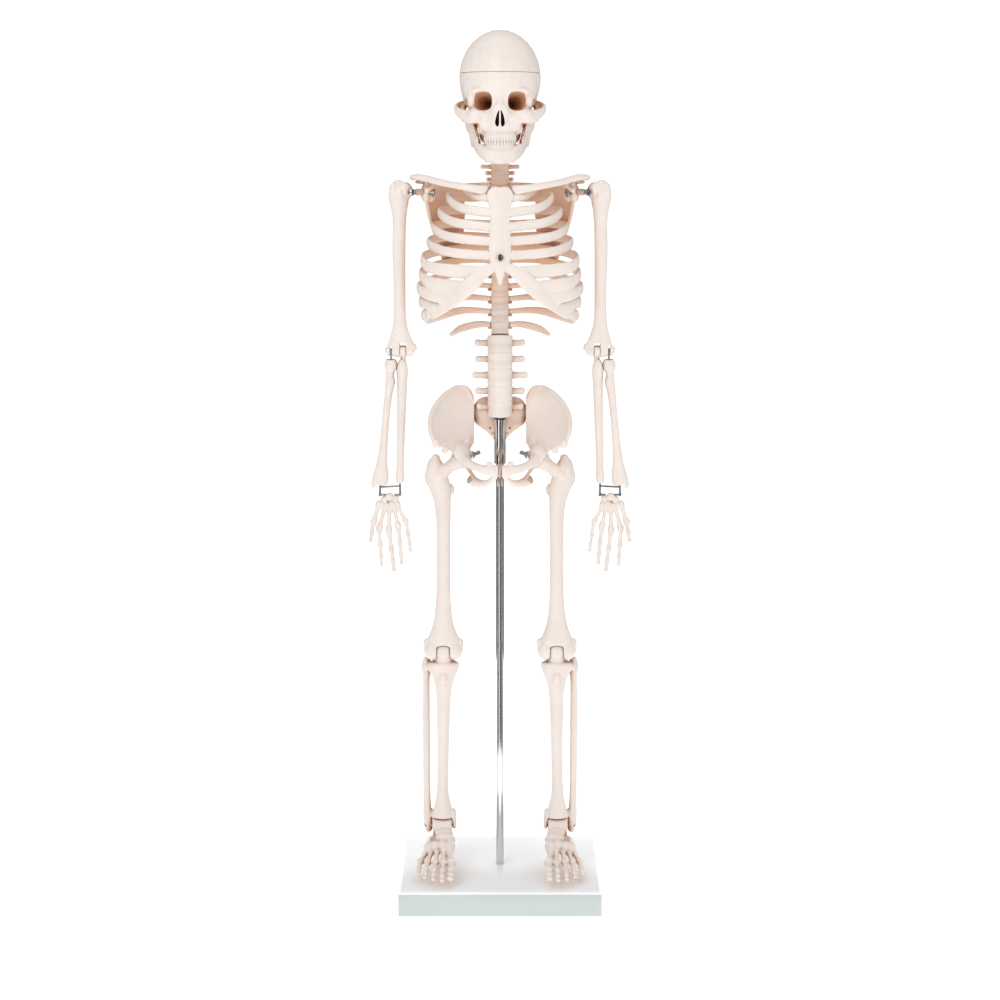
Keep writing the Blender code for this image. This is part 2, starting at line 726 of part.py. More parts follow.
def shoulder_pin():
    place = SHOULDER
    shank = cylinder(at(place, 0, -7.4, 0), at(place, 0, 6, 0), PIN_RADIUS, sides=12)
    head = cylinder(at(place, 0, -8.6, 0), at(place, 0, -7, 0), 2.9 * MM, sides=12)
    return carve([shank, head])


# --- Arm ---------------------------------------------------------------------------------------------------
ULNA_X = -3
RADIUS_X = 8.5


def humerus():
    """Upper arm bone, slotted at the top for the eye and forked at the elbow for the ulna."""
    shaft = limb(
        ARM,
        ELBOW,
        [
            (-0.045, 0.5, 1, 6.5, 6),
            (-0.015, 0.3, 1, 9.8, 9),
            (0.045, 0.3, 1, 9.8, 8.8),
            (0.13, 0, 0.5, 7, 7),
            (0.28, 0, 0, 6, 6),
            (0.55, 0, 0, 5.8, 5.6),
            (0.78, 0, 0, 6, 5),
            (0.88, -0.5, 0, 8.5, 4.8),
            (0.95, -0.8, 0, 12.8, 4.6),
            (1.0, -0.8, 0, 13.6, 4.2),
            (1.015, -0.8, 0, 12, 3.6),
        ],
    )
    ball_part = knob(ARM, -4.5, 1, 1, (8, 8, 8.5))
    pin_hole = cylinder(at(SHOULDER, 0, -20, 0), at(SHOULDER, 0, 20, 0), PIN_RADIUS + GAP, sides=12)
    slot = block(at(SHOULDER, -9, -1.9, -14), at(SHOULDER, 4.2, 1.9, 14))
    elbow_hole = cylinder(at(ELBOW, -30, 0, 0), at(ELBOW, 30, 0, 0), PIN_RADIUS + GAP, sides=12)
    fork = block(at(ELBOW, ULNA_X - 3.1, -20, -20), at(ELBOW, ULNA_X + 3.1, 20, 8))
    hook_slot = block(at(ELBOW, RADIUS_X - 1.1, -20, -20), at(ELBOW, RADIUS_X + 1.1, 20, 5))
    return carve([shaft, ball_part], [pin_hole, slot, elbow_hole, fork, hook_slot])


def elbow_pin():
    return cylinder(at(ELBOW, -13, 0, 0), at(ELBOW, 11.6, 0, 0), PIN_RADIUS, sides=12)


def ulna():
    """Inner forearm bone, with a flat cheek that turns on the elbow pin."""
    low = Vector((WRIST.x - 9.7 * MM, 0, WRIST.z + 13 * MM))
    high = at(ELBOW, ULNA_X, 0, 0)
    cheek = cylinder(at(high, -2.7, 0, 0), at(high, 2.7, 0, 0), 5.6 * MM, sides=16)
    hook = path(high, [(0, 2, 2, 2.5, 3), (0, 5.5, 1, 2.5, 2.5), (0, 5.5, -6, 2.5, 3)], sides=8)
    shaft = limb(
        high,
        low,
        [
            (0.02, 0, 0, 2.6, 4),
            (0.055, 0, 0, 2.6, 4.6),
            (0.085, 0, 0, 4.6, 4.6),
            (0.18, 0, 0, 5, 4.8),
            (0.35, 0, 0, 4.6, 4.4),
            (0.7, 0, 0, 3.8, 3.8),
            (0.92, 0, 0, 3.6, 3.6),
            (0.985, 0, 0, 4.4, 4.2),
        ],
    )
    hole = cylinder(at(high, -9, 0, 0), at(high, 9, 0, 0), PIN_RADIUS + GAP, sides=12)
    socket = cylinder(at(low, 0, 0, -5), at(low, 0, 0, 7), WIRE_RADIUS + GAP, sides=10)
    return carve([cheek, hook, shaft], [hole, socket])


def radius_bone():
    """Outer forearm bone, round-headed at the elbow and broad at the wrist."""
    high = at(ELBOW, RADIUS_X, 0, -11)
    low = Vector((WRIST.x + 9.8 * MM, 0, WRIST.z + 10.5 * MM))
    shaft = limb(
        high,
        low,
        [
            (0.01, 0, 0, 6.2, 5.8),
            (0.045, 0, 0, 6, 5.6),
            (0.08, 0, 0, 4, 4),
            (0.14, 0, 0, 4.4, 4.4),
            (0.3, 0, 0, 3.5, 3.6),
            (0.6, 0, -1, 3.7, 3.7),
            (0.82, 0, -1, 5.2, 4.6),
            (0.95, 0, 0, 8, 5.2),
            (0.985, 0.4, 0, 8.2, 5),
        ],
    )
    socket = cylinder(at(low, 0, 0, -5), at(low, 0, 0, 7), WIRE_RADIUS + GAP, sides=10)
    hook_socket = cylinder(at(high, 0, 0, -7), at(high, 0, 0, 5), WIRE_RADIUS + GAP, sides=10)
    return carve([shaft], [socket, hook_socket])


def elbow_hook():
    """Screw eye that ties the head of the radius to the elbow pin."""
    centre = at(ELBOW, RADIUS_X, 0, 0)
    eye = cylinder(at(centre, -0.7, 0, 0), at(centre, 0.7, 0, 0), 2.9 * MM, sides=14)
    shank = cylinder(at(centre, 0, 0, -16), at(centre, 0, 0, -2.4), WIRE_RADIUS, sides=8)
    hole = cylinder(at(centre, -4, 0, 0), at(centre, 4, 0, 0), PIN_RADIUS + GAP, sides=12)
    return carve([eye, shank], [hole])


def wrist_wire():
    """Wire bracket: two legs let into the forearm bones, a bar, and two stubs that the hand turns on."""
    legs = []
    for side in (-1, 1):
        outer = 9.8 * side
        legs.append(cylinder(at(WRIST, outer, 0, -1.2), at(WRIST, outer, 0, 16), WIRE_RADIUS, sides=8))
        legs.append(
            cylinder(
                at(WRIST, outer + 0.6 * side, 0, 0), at(WRIST, 4.2 * side, 0, 0), WIRE_RADIUS, sides=8
            )
        )
        legs.append(
            cylinder(at(WRIST, outer - 1.2, 0, 0), at(WRIST, outer + 1.4, 0, 0), 1.7 * MM, sides=10)
        )
    bar = path(WRIST, [(-9.8, 0, 8.6, 0.8, 0.8), (9.8, 0, 7.6, 0.8, 0.8)], across=Z_AXIS, sides=8)
    return carve([*legs, bar])


DIGITS = (
    # knuckle x, z; tip x, z, in millimetres from the wrist, thumb first
    ((17.5, -29), (19.6, -46.5), 2.6),
    ((11.5, -34), (8.7, -70), 2.4),
    ((1, -36.5), (-5, -76), 2.5),
    ((-8.7, -31), (-12.8, -68), 2.4),
    ((-16.6, -27), (-21.5, -55.5), 2.2),
)


def hand():
    """Wrist block with the five digits, palm forward and fingers a little curled."""
    shapes = [knob(WRIST, 0, 0, -5.2, (7.6, 4.6, 10))]
    for i, (knuckle, tip, thick) in enumerate(DIGITS):
        root = (knuckle[0] * 0.36 + (2 if i == 0 else 0), -12 if i else -6)
        middle = ((knuckle[0] + tip[0]) / 2, (knuckle[1] + tip[1]) / 2)
        shapes.append(
            path(
                WRIST,
                [
                    (root[0], 0, root[1], thick * 0.9, thick),
                    (
                        (root[0] + knuckle[0]) / 2,
                        0.5,
                        (root[1] + knuckle[1]) / 2,
                        thick * 0.75,
                        thick * 0.8,
                    ),
                    (knuckle[0], -0.5, knuckle[1], thick * 1.1, thick),
                    (
                        (knuckle[0] + middle[0]) / 2,
                        -2,
                        (knuckle[1] + middle[1]) / 2,
                        thick * 0.8,
                        thick * 0.8,
                    ),
                    (middle[0], -3.5, middle[1], thick * 1.05, thick * 0.95),
                    ((tip[0] + middle[0]) / 2, -6, (tip[1] + middle[1]) / 2, thick * 0.75, thick * 0.7),
                    (tip[0], -9, tip[1], thick * 0.7, thick * 0.6),
                ],
                sides=5,
                round_ends=False,
            )
        )
    palm = path(
        WRIST,
        [(1, 0, -9, 8, 3), (0, 0, -18, 10.5, 2.6), (-1, 0, -23, 12, 2.2)],
        sides=8,
        round_ends=False,
    )
    bore = cylinder(at(WRIST, -20, 0, 0), at(WRIST, 20, 0, 0), WIRE_RADIUS + GAP, sides=10)
    return carve([palm, *shapes], [bore])


# --- Leg ---------------------------------------------------------------------------------------------------
NOTCH = 5.2
TONGUE = 4.6


def femur():
    """Thigh bone: ball, neck, both trochanters, shaft and the two knuckles of the knee."""
    top = at(HIP, 17.5, 2, 0)
    shaft = limb(
        top,
        KNEE,
        [
            (0.0, 6.2, 3, 5, 5.5),
            (0.055, 6.8, 3, 9.5, 8.5),
            (0.12, 4.8, 2, 12, 9),
            (0.18, 1.2, 1, 9.6, 8),
            (0.26, -0.6, 0, 7.4, 7),
            (0.4, -1, -3, 6.8, 6.6),
            (0.65, -0.6, -3.5, 6.8, 6.6),
            (0.8, -0.2, -1, 8, 7),
            (0.9, 0, 0, 12, 8),
            (0.945, 0, 0, 16, 9.2),
        ],
        sides=10,
    )
    head = ball(HIP, [HEAD_RADIUS] * 3, segments=12, rings=8)
    neck = path(
        HIP, [(3, 0, -3, 7.6, 7.6), (11, 1, -8.5, 6.2, 6.2), (20, 2, -14, 8.5, 8)], across=Y_AXIS
    )
    lesser = knob(HIP, 8.5, 7, -32.5, (5.4, 5, 7.5), segments=8, rings=6)
    knuckles = [
        ball(at(KNEE, x, 0, 0), (8.6 * MM, CONDYLE_RADIUS, CONDYLE_RADIUS)) for x in (-10.6, 10.6)
    ]
    bolt_bore = cylinder(HIP - HIP_AXIS * 12 * MM, HIP + HIP_AXIS * 10 * MM, HIP_BORE)
    notch = block(at(KNEE, -NOTCH, -30, -20), at(KNEE, NOTCH, 30, 11))
    pin_hole = cylinder(at(KNEE, -40, 0, 0), at(KNEE, 40, 0, 0), PIN_RADIUS + GAP, sides=12)
    return carve([shaft, head, neck, lesser, *knuckles], [bolt_bore, notch, pin_hole])


def knee_pin():
    return cylinder(at(KNEE, -17, 0, 0), at(KNEE, 17, 0, 0), PIN_RADIUS, sides=12)


def shin():
    """Shin bone and calf bone moulded together, with the tongue that stands in the knee notch."""
    plateau = at(KNEE, 0, 0, -(CONDYLE_RADIUS / MM + 0.8))
    shaft = limb(
        plateau,
        ANKLE,
        [
            (0.008, 0, 0.5, 14.5, 9.4),
            (0.04, 0, 0.5, 15.6, 9.6),
            (0.09, -0.2, 0.5, 12.5, 8.4),
            (0.17, -0.4, -0.5, 8, 7.4),
            (0.3, -0.4, -0.5, 6.8, 6.8),
            (0.6, -0.2, 0, 5.8, 5.8),
            (0.82, 0, 0, 6.4, 5.8),
            (0.9, -0.4, 0, 9.8, 7),
            (0.935, -0.4, 0, 12, 7.8),
        ],
        sides=10,
        round_ends=False,
    )
    tongue_disc = cylinder(at(KNEE, -TONGUE, 0, 0), at(KNEE, TONGUE, 0, 0), 6.5 * MM, sides=16)
    tongue_root = block(at(KNEE, -TONGUE, -5, -16), at(KNEE, TONGUE, 5, 0))
    inner_ankle = path(
        ANKLE, [(-11.6, 0, 14, 2, 6), (-12, 0, 6, 1.7, 5), (-11.8, 0, -1, 1.4, 3.6)], sides=8
    )
    calf = limb(
        at(KNEE, 17.5, 12, -18),
        at(ANKLE, 16.4, 3, -2),
        [
            (-0.03, -0.5, 0, 4, 4),
            (0.03, -0.5, 0, 5.4, 5),
            (0.1, 0, 0, 3.6, 3.6),
            (0.3, 0, 0, 4, 3.8),
            (0.7, -0.3, 0, 3.9, 3.8),
            (0.88, -0.6, 0, 4.4, 4.4),
            (0.96, -1, 0, 4.4, 5),
            (1.02, -0.6, 0, 3, 3.6),
        ],
    )
    upper_bridge = path(KNEE, [(9, 3, -17, 4, 4), (16, 9, -19.5, 3.4, 3.4)], across=Z_AXIS, sides=6)
    lower_bridge = path(ANKLE, [(7, 1, 13.5, 2.6, 3.4), (14.5, 3, 14.5, 2.6, 3)], across=Z_AXIS, sides=6)
    knee_hole = cylinder(at(KNEE, -40, 0, 0), at(KNEE, 40, 0, 0), PIN_RADIUS + GAP, sides=12)
    ankle_hole = cylinder(at(ANKLE, -40, 0, 0), at(ANKLE, 40, 0, 0), PIN_RADIUS + GAP, sides=12)
    room = cylinder(at(ANKLE, -9.8, 0, 0), at(ANKLE, 10.6, 0, 0), 10.2 * MM, sides=24)
    return carve(
        [shaft, tongue_disc, tongue_root, inner_ankle, calf, upper_bridge, lower_bridge],
        [knee_hole, ankle_hole, room],
    )


def ankle_pin():
    return cylinder(at(ANKLE, -12.6, 0, 0), at(ANKLE, 15.6, 0, 0), PIN_RADIUS, sides=12)


TOES = (
    # ball x, y, z; tip x, y, z in millimetres from the ankle, big toe first
    ((-10, -48, -21.5), (-9.4, -70, -29.6), 4.6),
    ((-2.4, -48, -21.5), (-1.4, -73, -30.4), 3.4),
    ((5.8, -45, -22.5), (7.2, -70, -30.5), 3.3),
    ((13.8, -41, -24), (15.6, -64, -30.8), 3.3),
    ((21.4, -35, -25.6), (22.8, -55, -31), 3.4),
)


def foot():
    """Ankle block, heel, arch and the five toes moulded as one."""
    dome = cylinder(at(ANKLE, -8.6, 0, 0), at(ANKLE, 8.4, 0, 0), 9.6 * MM, sides=20)
    neck = path(
        ANKLE,
        [(0, 2, -8, 8.6, 8), (-1, -12, -6.5, 9, 7), (0, -20, -10, 13, 7), (3, -28, -15, 16, 6)],
    )
    heel = path(ANKLE, [(0, -2, -14, 8, 9), (1, 10, -19, 7.4, 8), (1, 22, -23, 7.2, 7.4)], across=X_AXIS)
    shapes = [dome, neck, heel]
    for joint, tip, thick in TOES:
        root = (joint[0] * 0.6, -22, -14 - 0.2 * joint[0])
        shapes.append(
            path(
                ANKLE,
                [
                    (*root, thick * 1.1, thick * 1.3),
                    (*[(a + b) / 2 for a, b in zip(root, joint)], thick * 0.85, thick),
                    (*joint, thick * 1.05, thick),
                    (*[(a * 2 + b) / 3 for a, b in zip(joint, tip)], thick * 0.75, thick * 0.75),
                    (*[(a + b * 2) / 3 for a, b in zip(joint, tip)], thick * 0.85, thick * 0.75),
                    (*tip, thick * 0.7, thick * 0.55),
                ],
                sides=5,
                round_ends=False,
            )
        )
    hole = cylinder(at(ANKLE, -40, 0, 0), at(ANKLE, 40, 0, 0), PIN_RADIUS + GAP, sides=12)
    return carve(shapes, [hole])


# --- Skull -------------------------------------------------------------------------------------------------
NECK_PIN_RADIUS = 2 * MM
JAW_Y = (JAW.y - NECK_TOP.y) / MM
JAW_Z = (JAW.z - NECK_TOP.z) / MM


def jaw_slot(side):
    """Room under the temple for the jaw's head to turn in."""
    near, far = sorted((side * 24.5, side * 32.6))
    return block(at(NECK_TOP, near, -24, -10), at(NECK_TOP, far, 2.5, JAW_Z + 7))


def vault(shrink=0.0, height=None):
    radii = [radius - shrink for radius in VAULT_RADII]
    if height:
        radii[2] = height
    return radii


def cranium():
    """Skull without its cap and jaw: brain case, brow, sockets, nose, cheeks and upper teeth."""
    face = NECK_TOP
    case = ball(VAULT, vault(), segments=16, rings=10)
    front = path(
        face,
        [
            (0, -27, 44, 27, 22),
            (0, -27, 34, 29, 24),
            (0, -28, 26, 28.5, 25),
            (0, -30, 17, 25, 24.5),
            (0, -34, 10, 18, 20),
            (0, -37, 2, 16.5, 16.5),
            (0, -38, -6.4, 15.2, 15),
        ],
        sides=12,
        round_ends=False,
    )
    floor = knob(face, 0, 4, 17, (25, 30, 12), segments=12)
    shapes = [case, front, floor]
    for side in (-1, 1):
        shapes.append(
            path(
                face,
                [
                    (side * 22, -44, 15, 6, 4),
                    (side * 31, -37, 14, 6, 3),
                    (side * 38.5, -26, 19, 4.5, 2),
                    (side * 40.4, -14, 24, 3.6, 2),
                    (side * 37.6, -3, 28, 4, 2.6),
                    (side * 33, 4, 31, 5, 4),
                ],
                across=Z_AXIS,
                sides=6,
            )
        )
        shapes.append(knob(face, side * 24, -37, 17, (8, 9, 7.5), segments=8, rings=6))
        shapes.append(knob(face, side * 28, 12, 12, (6, 9, 12), segments=8, rings=6))
        shapes.append(knob(face, side * 35.6, -4, 19, (2.2, 5, 10), segments=8, rings=6))
    hollow = ball(Vector((0, VAULT.y, CAP_CUT)), vault(SKULL_WALL, 20 * MM), segments=14, rings=8)
    lid = block(Vector((-0.1, -0.1, CAP_CUT)), Vector((0.1, 0.1, CAP_CUT + 0.1)))
    cutters = [hollow, lid]
    for side in (-1, 1):
        cutters.append(
            path(
                face,
                [
                    (side * 15.4, -60, 30, 8.6, 8.4),
                    (side * 15, -46, 29.5, 8.4, 8),
                    (side * 11, -26, 28, 3, 3),
                ],
                sides=8,
            )
        )
        cutters.append(
            path(
                face,
                [(side * 2.5, -62, 14.5, 2, 6.2), (side * 2.5, -42, 14.5, 1.8, 5)],
                sides=6,
                round_ends=False,
            )
        )
        cutters.append(
            cylinder(
                at(face, side * 60, JAW_Y, JAW_Z),
                at(face, side * 20, JAW_Y, JAW_Z),
                PIN_RADIUS + GAP,
                sides=12,
            )
        )
        cutters.append(jaw_slot(side))
    cutters.append(cylinder(at(face, 0, 0, -20), at(face, 0, 0, 22), NECK_PIN_RADIUS + GAP))
    cutters.append(cylinder(at(face, 0, 0, -20), at(face, 0, 0, -1), 20 * MM))
    return carve(shapes, cutters)


def skull_cap():
    """Lift-off top of the brain case."""
    outer = ball(VAULT, vault(), segments=16, rings=10)
    inner = ball(VAULT, vault(SKULL_WALL), segments=16, rings=10)
    below = block(Vector((-0.1, -0.1, CAP_CUT - 0.1)), Vector((0.1, 0.1, CAP_CUT + GAP)))
    return carve([outer], [inner, below])


def mandible():
    """Lower jaw with its teeth, from one hinge pin round the chin to the other."""
    half = [
        (0, -50, -21, 6.6, 4),
        (9, -47.5, -20.5, 6.6, 4),
        (16, -40, -19, 6.4, 3.8),
        (21, -30, -16, 6.4, 3.2),
        (24, -21, -11, 7, 3),
    ]
    ring = [(-x, y, z, w, d) for x, y, z, w, d in half[:0:-1]] + half
    shapes = [path(NECK_TOP, ring, across=Z_AXIS)]
    teeth = [(-12, -38), (-9.5, -46), (0, -49.5), (9.5, -46), (12, -38)]
    shapes.append(
        path(NECK_TOP, [(x, y, -13, 6, 2.4) for x, y in teeth], across=Z_AXIS, sides=6, round_ends=False)
    )
    for side in (-1, 1):
        shapes.append(
            path(
                NECK_TOP,
                [
                    (side * 24, -19, -12, 6, 2.4),
                    (side * 26, -17, -4, 6.5, 2.2),
                    (side * 28, -14, 4, 6, 2),
                    (side * 29, JAW_Y - 1, 12, 4.2, 2),
                    (side * 29, JAW_Y, JAW_Z + 1, 3.6, 2),
                ],
                across=Y_AXIS,
                sides=8,
            )
        )
    top = block(at(NECK_TOP, -20, -70, -6.8), at(NECK_TOP, 20, -24, 20))
    hole = cylinder(
        at(NECK_TOP, -60, JAW_Y, JAW_Z), at(NECK_TOP, 60, JAW_Y, JAW_Z), PIN_RADIUS + GAP, sides=12
    )
    return carve(shapes, [top, hole])


def jaw_pin():
    return cylinder(at(JAW, -3, 0, 0), at(JAW, 8, 0, 0), PIN_RADIUS, sides=10)


def neck_pin():
    """Pin in the top of the neck that the skull turns on."""
    return cylinder(at(NECK_TOP, 0, 0, -13.5), at(NECK_TOP, 0, 0, 21), NECK_PIN_RADIUS, sides=14)


# --- Assembly ----------------------------------------------------------------------------------------------
STAND_AND_TRUNK = (
    ("base_plate", base_plate, "board"),
    ("base_washer", base_washer, "steel"),
    ("base_bolt", base_bolt, "steel"),
    ("stand_rod", stand_rod, "chrome"),
    ("rod_sleeve", rod_sleeve, "chrome"),
    ("rod_collar", rod_collar, "dark"),
    ("sacrum", sacrum, "bone"),
    ("pubic_disc", pubic_disc, "bone"),
    ("lumbar_spine", lumbar_spine, "bone"),
    ("thoracic_spine", thoracic_spine, "bone"),
    ("cervical_spine", cervical_spine, "bone"),
    ("rib_cage", rib_cage, "bone"),
    ("sternum_screw", sternum_screw, "chrome"),
    ("neck_pin", neck_pin, "steel"),
)
FIXED_PAIRS = (
    ("hip_bone", hip_bone, "bone"),
    ("floating_rib", floating_rib, "bone"),
    ("clavicle", clavicle, "bone"),
    ("scapula", scapula, "bone"),
)
LIMBS = (
    # joint, its place, the joint that it hangs from, and the pieces that turn with it
    (
        "shoulder_swing",
        SHOULDER,
        None,
        (("shoulder_bolt", shoulder_bolt, "chrome"), ("shoulder_sleeve", shoulder_sleeve, "spacer")),
    ),
    (
        "shoulder_spread",
        SHOULDER,
        "shoulder_swing",
        (
            ("humerus", humerus, "bone"),
            ("shoulder_pin", shoulder_pin, "chrome"),
            ("elbow_pin", elbow_pin, "steel"),
        ),
    ),
    (
        "elbow_bend",
        ELBOW,
        "shoulder_spread",
        (
            ("ulna", ulna, "bone"),
            ("radius", radius_bone, "bone"),
            ("elbow_hook", elbow_hook, "chrome"),
            ("wrist_wire", wrist_wire, "chrome"),
        ),
    ),
    ("wrist_bend", WRIST, "elbow_bend", (("hand", hand, "bone"),)),
    (
        "hip_bend",
        HIP,
        None,
        (("femur", femur, "bone"), ("hip_bolt", hip_bolt, "steel"), ("knee_pin", knee_pin, "steel")),
    ),
    ("knee_bend", KNEE, "hip_bend", (("shin", shin, "bone"), ("ankle_pin", ankle_pin, "steel"))),
    ("ankle_bend", ANKLE, "knee_bend", (("foot", foot, "bone"),)),
)


def build():
    for stale in list(bpy.data.objects):
        bpy.data.objects.remove(stale)
    trunk = pivot("trunk", Vector())
    for name, shape, finish in STAND_AND_TRUNK:
        piece(name, shape(), finish, trunk)
    for base, shape, finish in FIXED_PAIRS:
        for word, side in SIDES.items():
            piece(f"{base}_{word}", mirrored(shape(), side), finish, trunk)
    for word, side in SIDES.items():
        empties = {None: trunk}
        for joint, place, parent, members in LIMBS:
            empties[joint] = pivot(f"{joint}_{word}", flipped(place, side), empties[parent])
            for base, shape, finish in members:
                piece(f"{base}_{word}", mirrored(shape(), side), finish, empties[joint])
    skull = pivot("neck_turn", NECK_TOP, trunk)
    piece("cranium", cranium(), "bone", skull)
    for word, side in SIDES.items():
        piece(f"jaw_pin_{word}", mirrored(jaw_pin(), side), "steel", skull)
    jaw = pivot("jaw_open", Vector((0, JAW.y, JAW.z)), skull)
    piece("mandible", mandible(), "bone", jaw)
    cap = pivot("cap_lift", Vector((0, VAULT.y, CAP_CUT)), skull)
    piece("skull_cap", skull_cap(), "bone", cap)


build()
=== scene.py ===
"""Looks of the classroom skeleton: moulded bones, plated hardware, stand, studio floor, light and camera."""

import json
import logging
import math
from dataclasses import dataclass, field
from enum import Enum
from typing import Any, Sequence, Union

import bmesh
import bpy
from mathutils import Matrix, Vector


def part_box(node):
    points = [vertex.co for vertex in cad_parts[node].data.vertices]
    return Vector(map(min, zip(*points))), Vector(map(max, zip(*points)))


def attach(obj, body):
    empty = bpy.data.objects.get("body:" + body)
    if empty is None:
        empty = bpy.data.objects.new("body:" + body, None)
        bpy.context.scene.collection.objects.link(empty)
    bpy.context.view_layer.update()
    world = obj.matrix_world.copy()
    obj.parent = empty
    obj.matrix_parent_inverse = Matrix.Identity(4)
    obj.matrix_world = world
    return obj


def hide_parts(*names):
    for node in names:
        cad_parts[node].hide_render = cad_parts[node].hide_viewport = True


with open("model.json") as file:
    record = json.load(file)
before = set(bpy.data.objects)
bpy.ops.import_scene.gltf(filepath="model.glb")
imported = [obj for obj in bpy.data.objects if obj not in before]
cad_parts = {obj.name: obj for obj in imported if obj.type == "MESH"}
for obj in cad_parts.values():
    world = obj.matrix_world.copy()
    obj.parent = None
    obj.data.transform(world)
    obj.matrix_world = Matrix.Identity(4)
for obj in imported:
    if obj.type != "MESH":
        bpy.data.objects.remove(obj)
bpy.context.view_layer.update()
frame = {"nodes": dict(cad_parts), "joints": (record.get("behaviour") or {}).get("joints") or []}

LOG = logging.getLogger("skeleton")

MM = 0.001
X_AXIS = Vector((1, 0, 0))
Y_AXIS = Vector((0, 1, 0))
Z_AXIS = Vector((0, 0, 1))

Row = tuple[float, float, float, float, float]
Number = Union[int, float]


# --- Landmarks ------------------------------------------------------------------------------------
def joint_place(name: str) -> Vector:
    """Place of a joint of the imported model, at rest."""
    return Vector(next(j["pos_m"] for j in frame["joints"] if j["name"] == name))


SHOULDER = joint_place("shoulder_swing_left")
ELBOW = joint_place("elbow_bend_left")
WRIST = joint_place("wrist_bend_left")
HIP = joint_place("hip_bend_left")
KNEE = joint_place("knee_bend_left")
ANKLE = joint_place("ankle_bend_left")
NECK_TOP = joint_place("neck_turn")
JAW = joint_place("jaw_open")
LOIN = Vector((0, 3 * MM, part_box("lumbar_spine")[0].z))
LUMBAR_TOP = Vector((0, 6 * MM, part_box("thoracic_spine")[0].z))
THORAX_TOP = Vector((0, 11 * MM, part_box("cervical_spine")[0].z))
ARM = Vector((ELBOW.x - 1 * MM, 0, SHOULDER.z))
CAP_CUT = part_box("skull_cap")[0].z - 0.3 * MM
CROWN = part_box("skull_cap")[1].z
CHEST_HALF_WIDTH = SHOULDER.x - 7 * MM
HIP_AXIS = Vector((math.cos(math.radians(20)), 0, -math.sin(math.radians(20))))


def at(origin: Vector, x: float, y: float, z: float) -> Vector:
    """The point this many millimetres from origin."""
    return origin + Vector((x, y, z)) * MM


class Side(Enum):
    """The two sides of the body; the value is the sign of x."""

    LEFT = 1
    RIGHT = -1

    @property
    def word(self) -> str:
        """The side's name as the sub-parts spell it."""
        return self.name.lower()


# --- Modelling bench ------------------------------------------------------------------------------
def spline(values: Sequence[Sequence[float]], count: int) -> list[list[float]]:
    """Resamples rows of numbers along a smooth curve through them.

    Args:
        values: the rows to pass through.
        count: how many rows to return.

    Returns:
        The rows, evenly spread between the first and the last.
    """
    first = [2 * a - b for a, b in zip(values[0], values[1])]
    last = [2 * a - b for a, b in zip(values[-1], values[-2])]
    ends = [first, *values, last]
    out = []
    for i in range(count):
        place = i / (count - 1) * (len(values) - 1)
        k = min(int(place), len(values) - 2)
        t = place - k
        row = []
        for a, b, c, d in zip(*ends[k : k + 4]):
            row.append(
                0.5 * (
                    2 * b + (c - a) * t + (2 * a - 5 * b + 4 * c - d) * t**2 + (3 * b - a - 3 * c + d) * t**3
                )
            )
        out.append(row)
    return out


def deselect() -> None:
    """Leaves nothing selected and no object in edit mode."""
    if bpy.context.mode != "OBJECT":
        bpy.ops.object.mode_set(mode="OBJECT")
    bpy.ops.object.select_all(action="DESELECT")


def pick(*objects: bpy.types.Object) -> None:
    """Selects these objects, with the first one active."""
    deselect()
    for each in objects:
        each.select_set(True)
    bpy.context.view_layer.objects.active = objects[0]


def apply_place(made: bpy.types.Object) -> bpy.types.Object:
    """Moves an object's place, turn and scale into its mesh."""
    pick(made)
    bpy.ops.object.transform_apply(location=True, rotation=True, scale=True)
    return made


def tube(
    rows: Sequence[tuple[Vector, float, float]],
    across: Vector = X_AXIS,
    sides: int = 16,
    steps: int = 0,
    blunt: bool = False,
    round_power: float = 1.0,
) -> bpy.types.Object:
    """Extrudes a round section through stations, each with its own oval.

    Args:
        rows: (point, half width along across, half depth) of each station, in metres.
        across: the direction in which the width is measured.
        sides: how many corners the section has.
        steps: how many stations to resample to, or 0 to keep them.
        blunt: leaves the ends flat.
        round_power: 1 gives an oval section, less makes it squarer.

    Returns:
        The closed limb.
    """
    if steps:
        rows = [(Vector(v[:3]), v[3], v[4]) for v in spline([[*p, w, d] for p, w, d in rows], steps)]
    rings = []
    for i, (point, width, depth) in enumerate(rows):
        tangent = (rows[min(i + 1, len(rows) - 1)][0] - rows[max(i - 1, 0)][0]).normalized()
        side = (across - across.dot(tangent) * tangent).normalized()
        rings.append((point, tangent, side, tangent.cross(side), width, depth))
    if not blunt:
        for way, end in ((-1, rings[0]), (1, rings[-1])):
            point, tangent, side, front, width, depth = end
            reach = min(width, depth)
            caps = []
            for out, size in ((0.38, 0.9), (0.62, 0.68), (0.78, 0.36)):
                caps.append(
                    (point + tangent * way * out * reach, tangent, side, front, size * width, size * depth)
                )
            rings = caps[::-1] + rings if way < 0 else rings + caps
    deselect()
    bpy.ops.mesh.primitive_circle_add(vertices=sides, radius=1, fill_type="NGON", enter_editmode=True)
    made = bpy.context.object
    mesh = bmesh.from_edit_mesh(made.data)
    corner = mesh.verts.layers.int.new("corner")
    for i, vertex in enumerate(mesh.verts):
        vertex[corner] = i
    for i, (point, _, side, front, width, depth) in enumerate(rings):
        if i:
            bpy.ops.mesh.extrude_region()
            mesh = bmesh.from_edit_mesh(made.data)
            corner = mesh.verts.layers.int["corner"]
        for vertex in mesh.verts:
            if vertex.select:
                turn = 2 * math.pi * (vertex[corner] + 0.5) / sides
                out, up = (math.copysign(abs(v) ** round_power, v) for v in (math.cos(turn), math.sin(turn)))
                vertex.co = point + side * width * out + front * depth * up
        bmesh.update_edit_mesh(made.data)
    bpy.ops.mesh.select_all(action="SELECT")
    bpy.ops.mesh.normals_make_consistent(inside=False)
    bpy.ops.object.mode_set(mode="OBJECT")
    return made


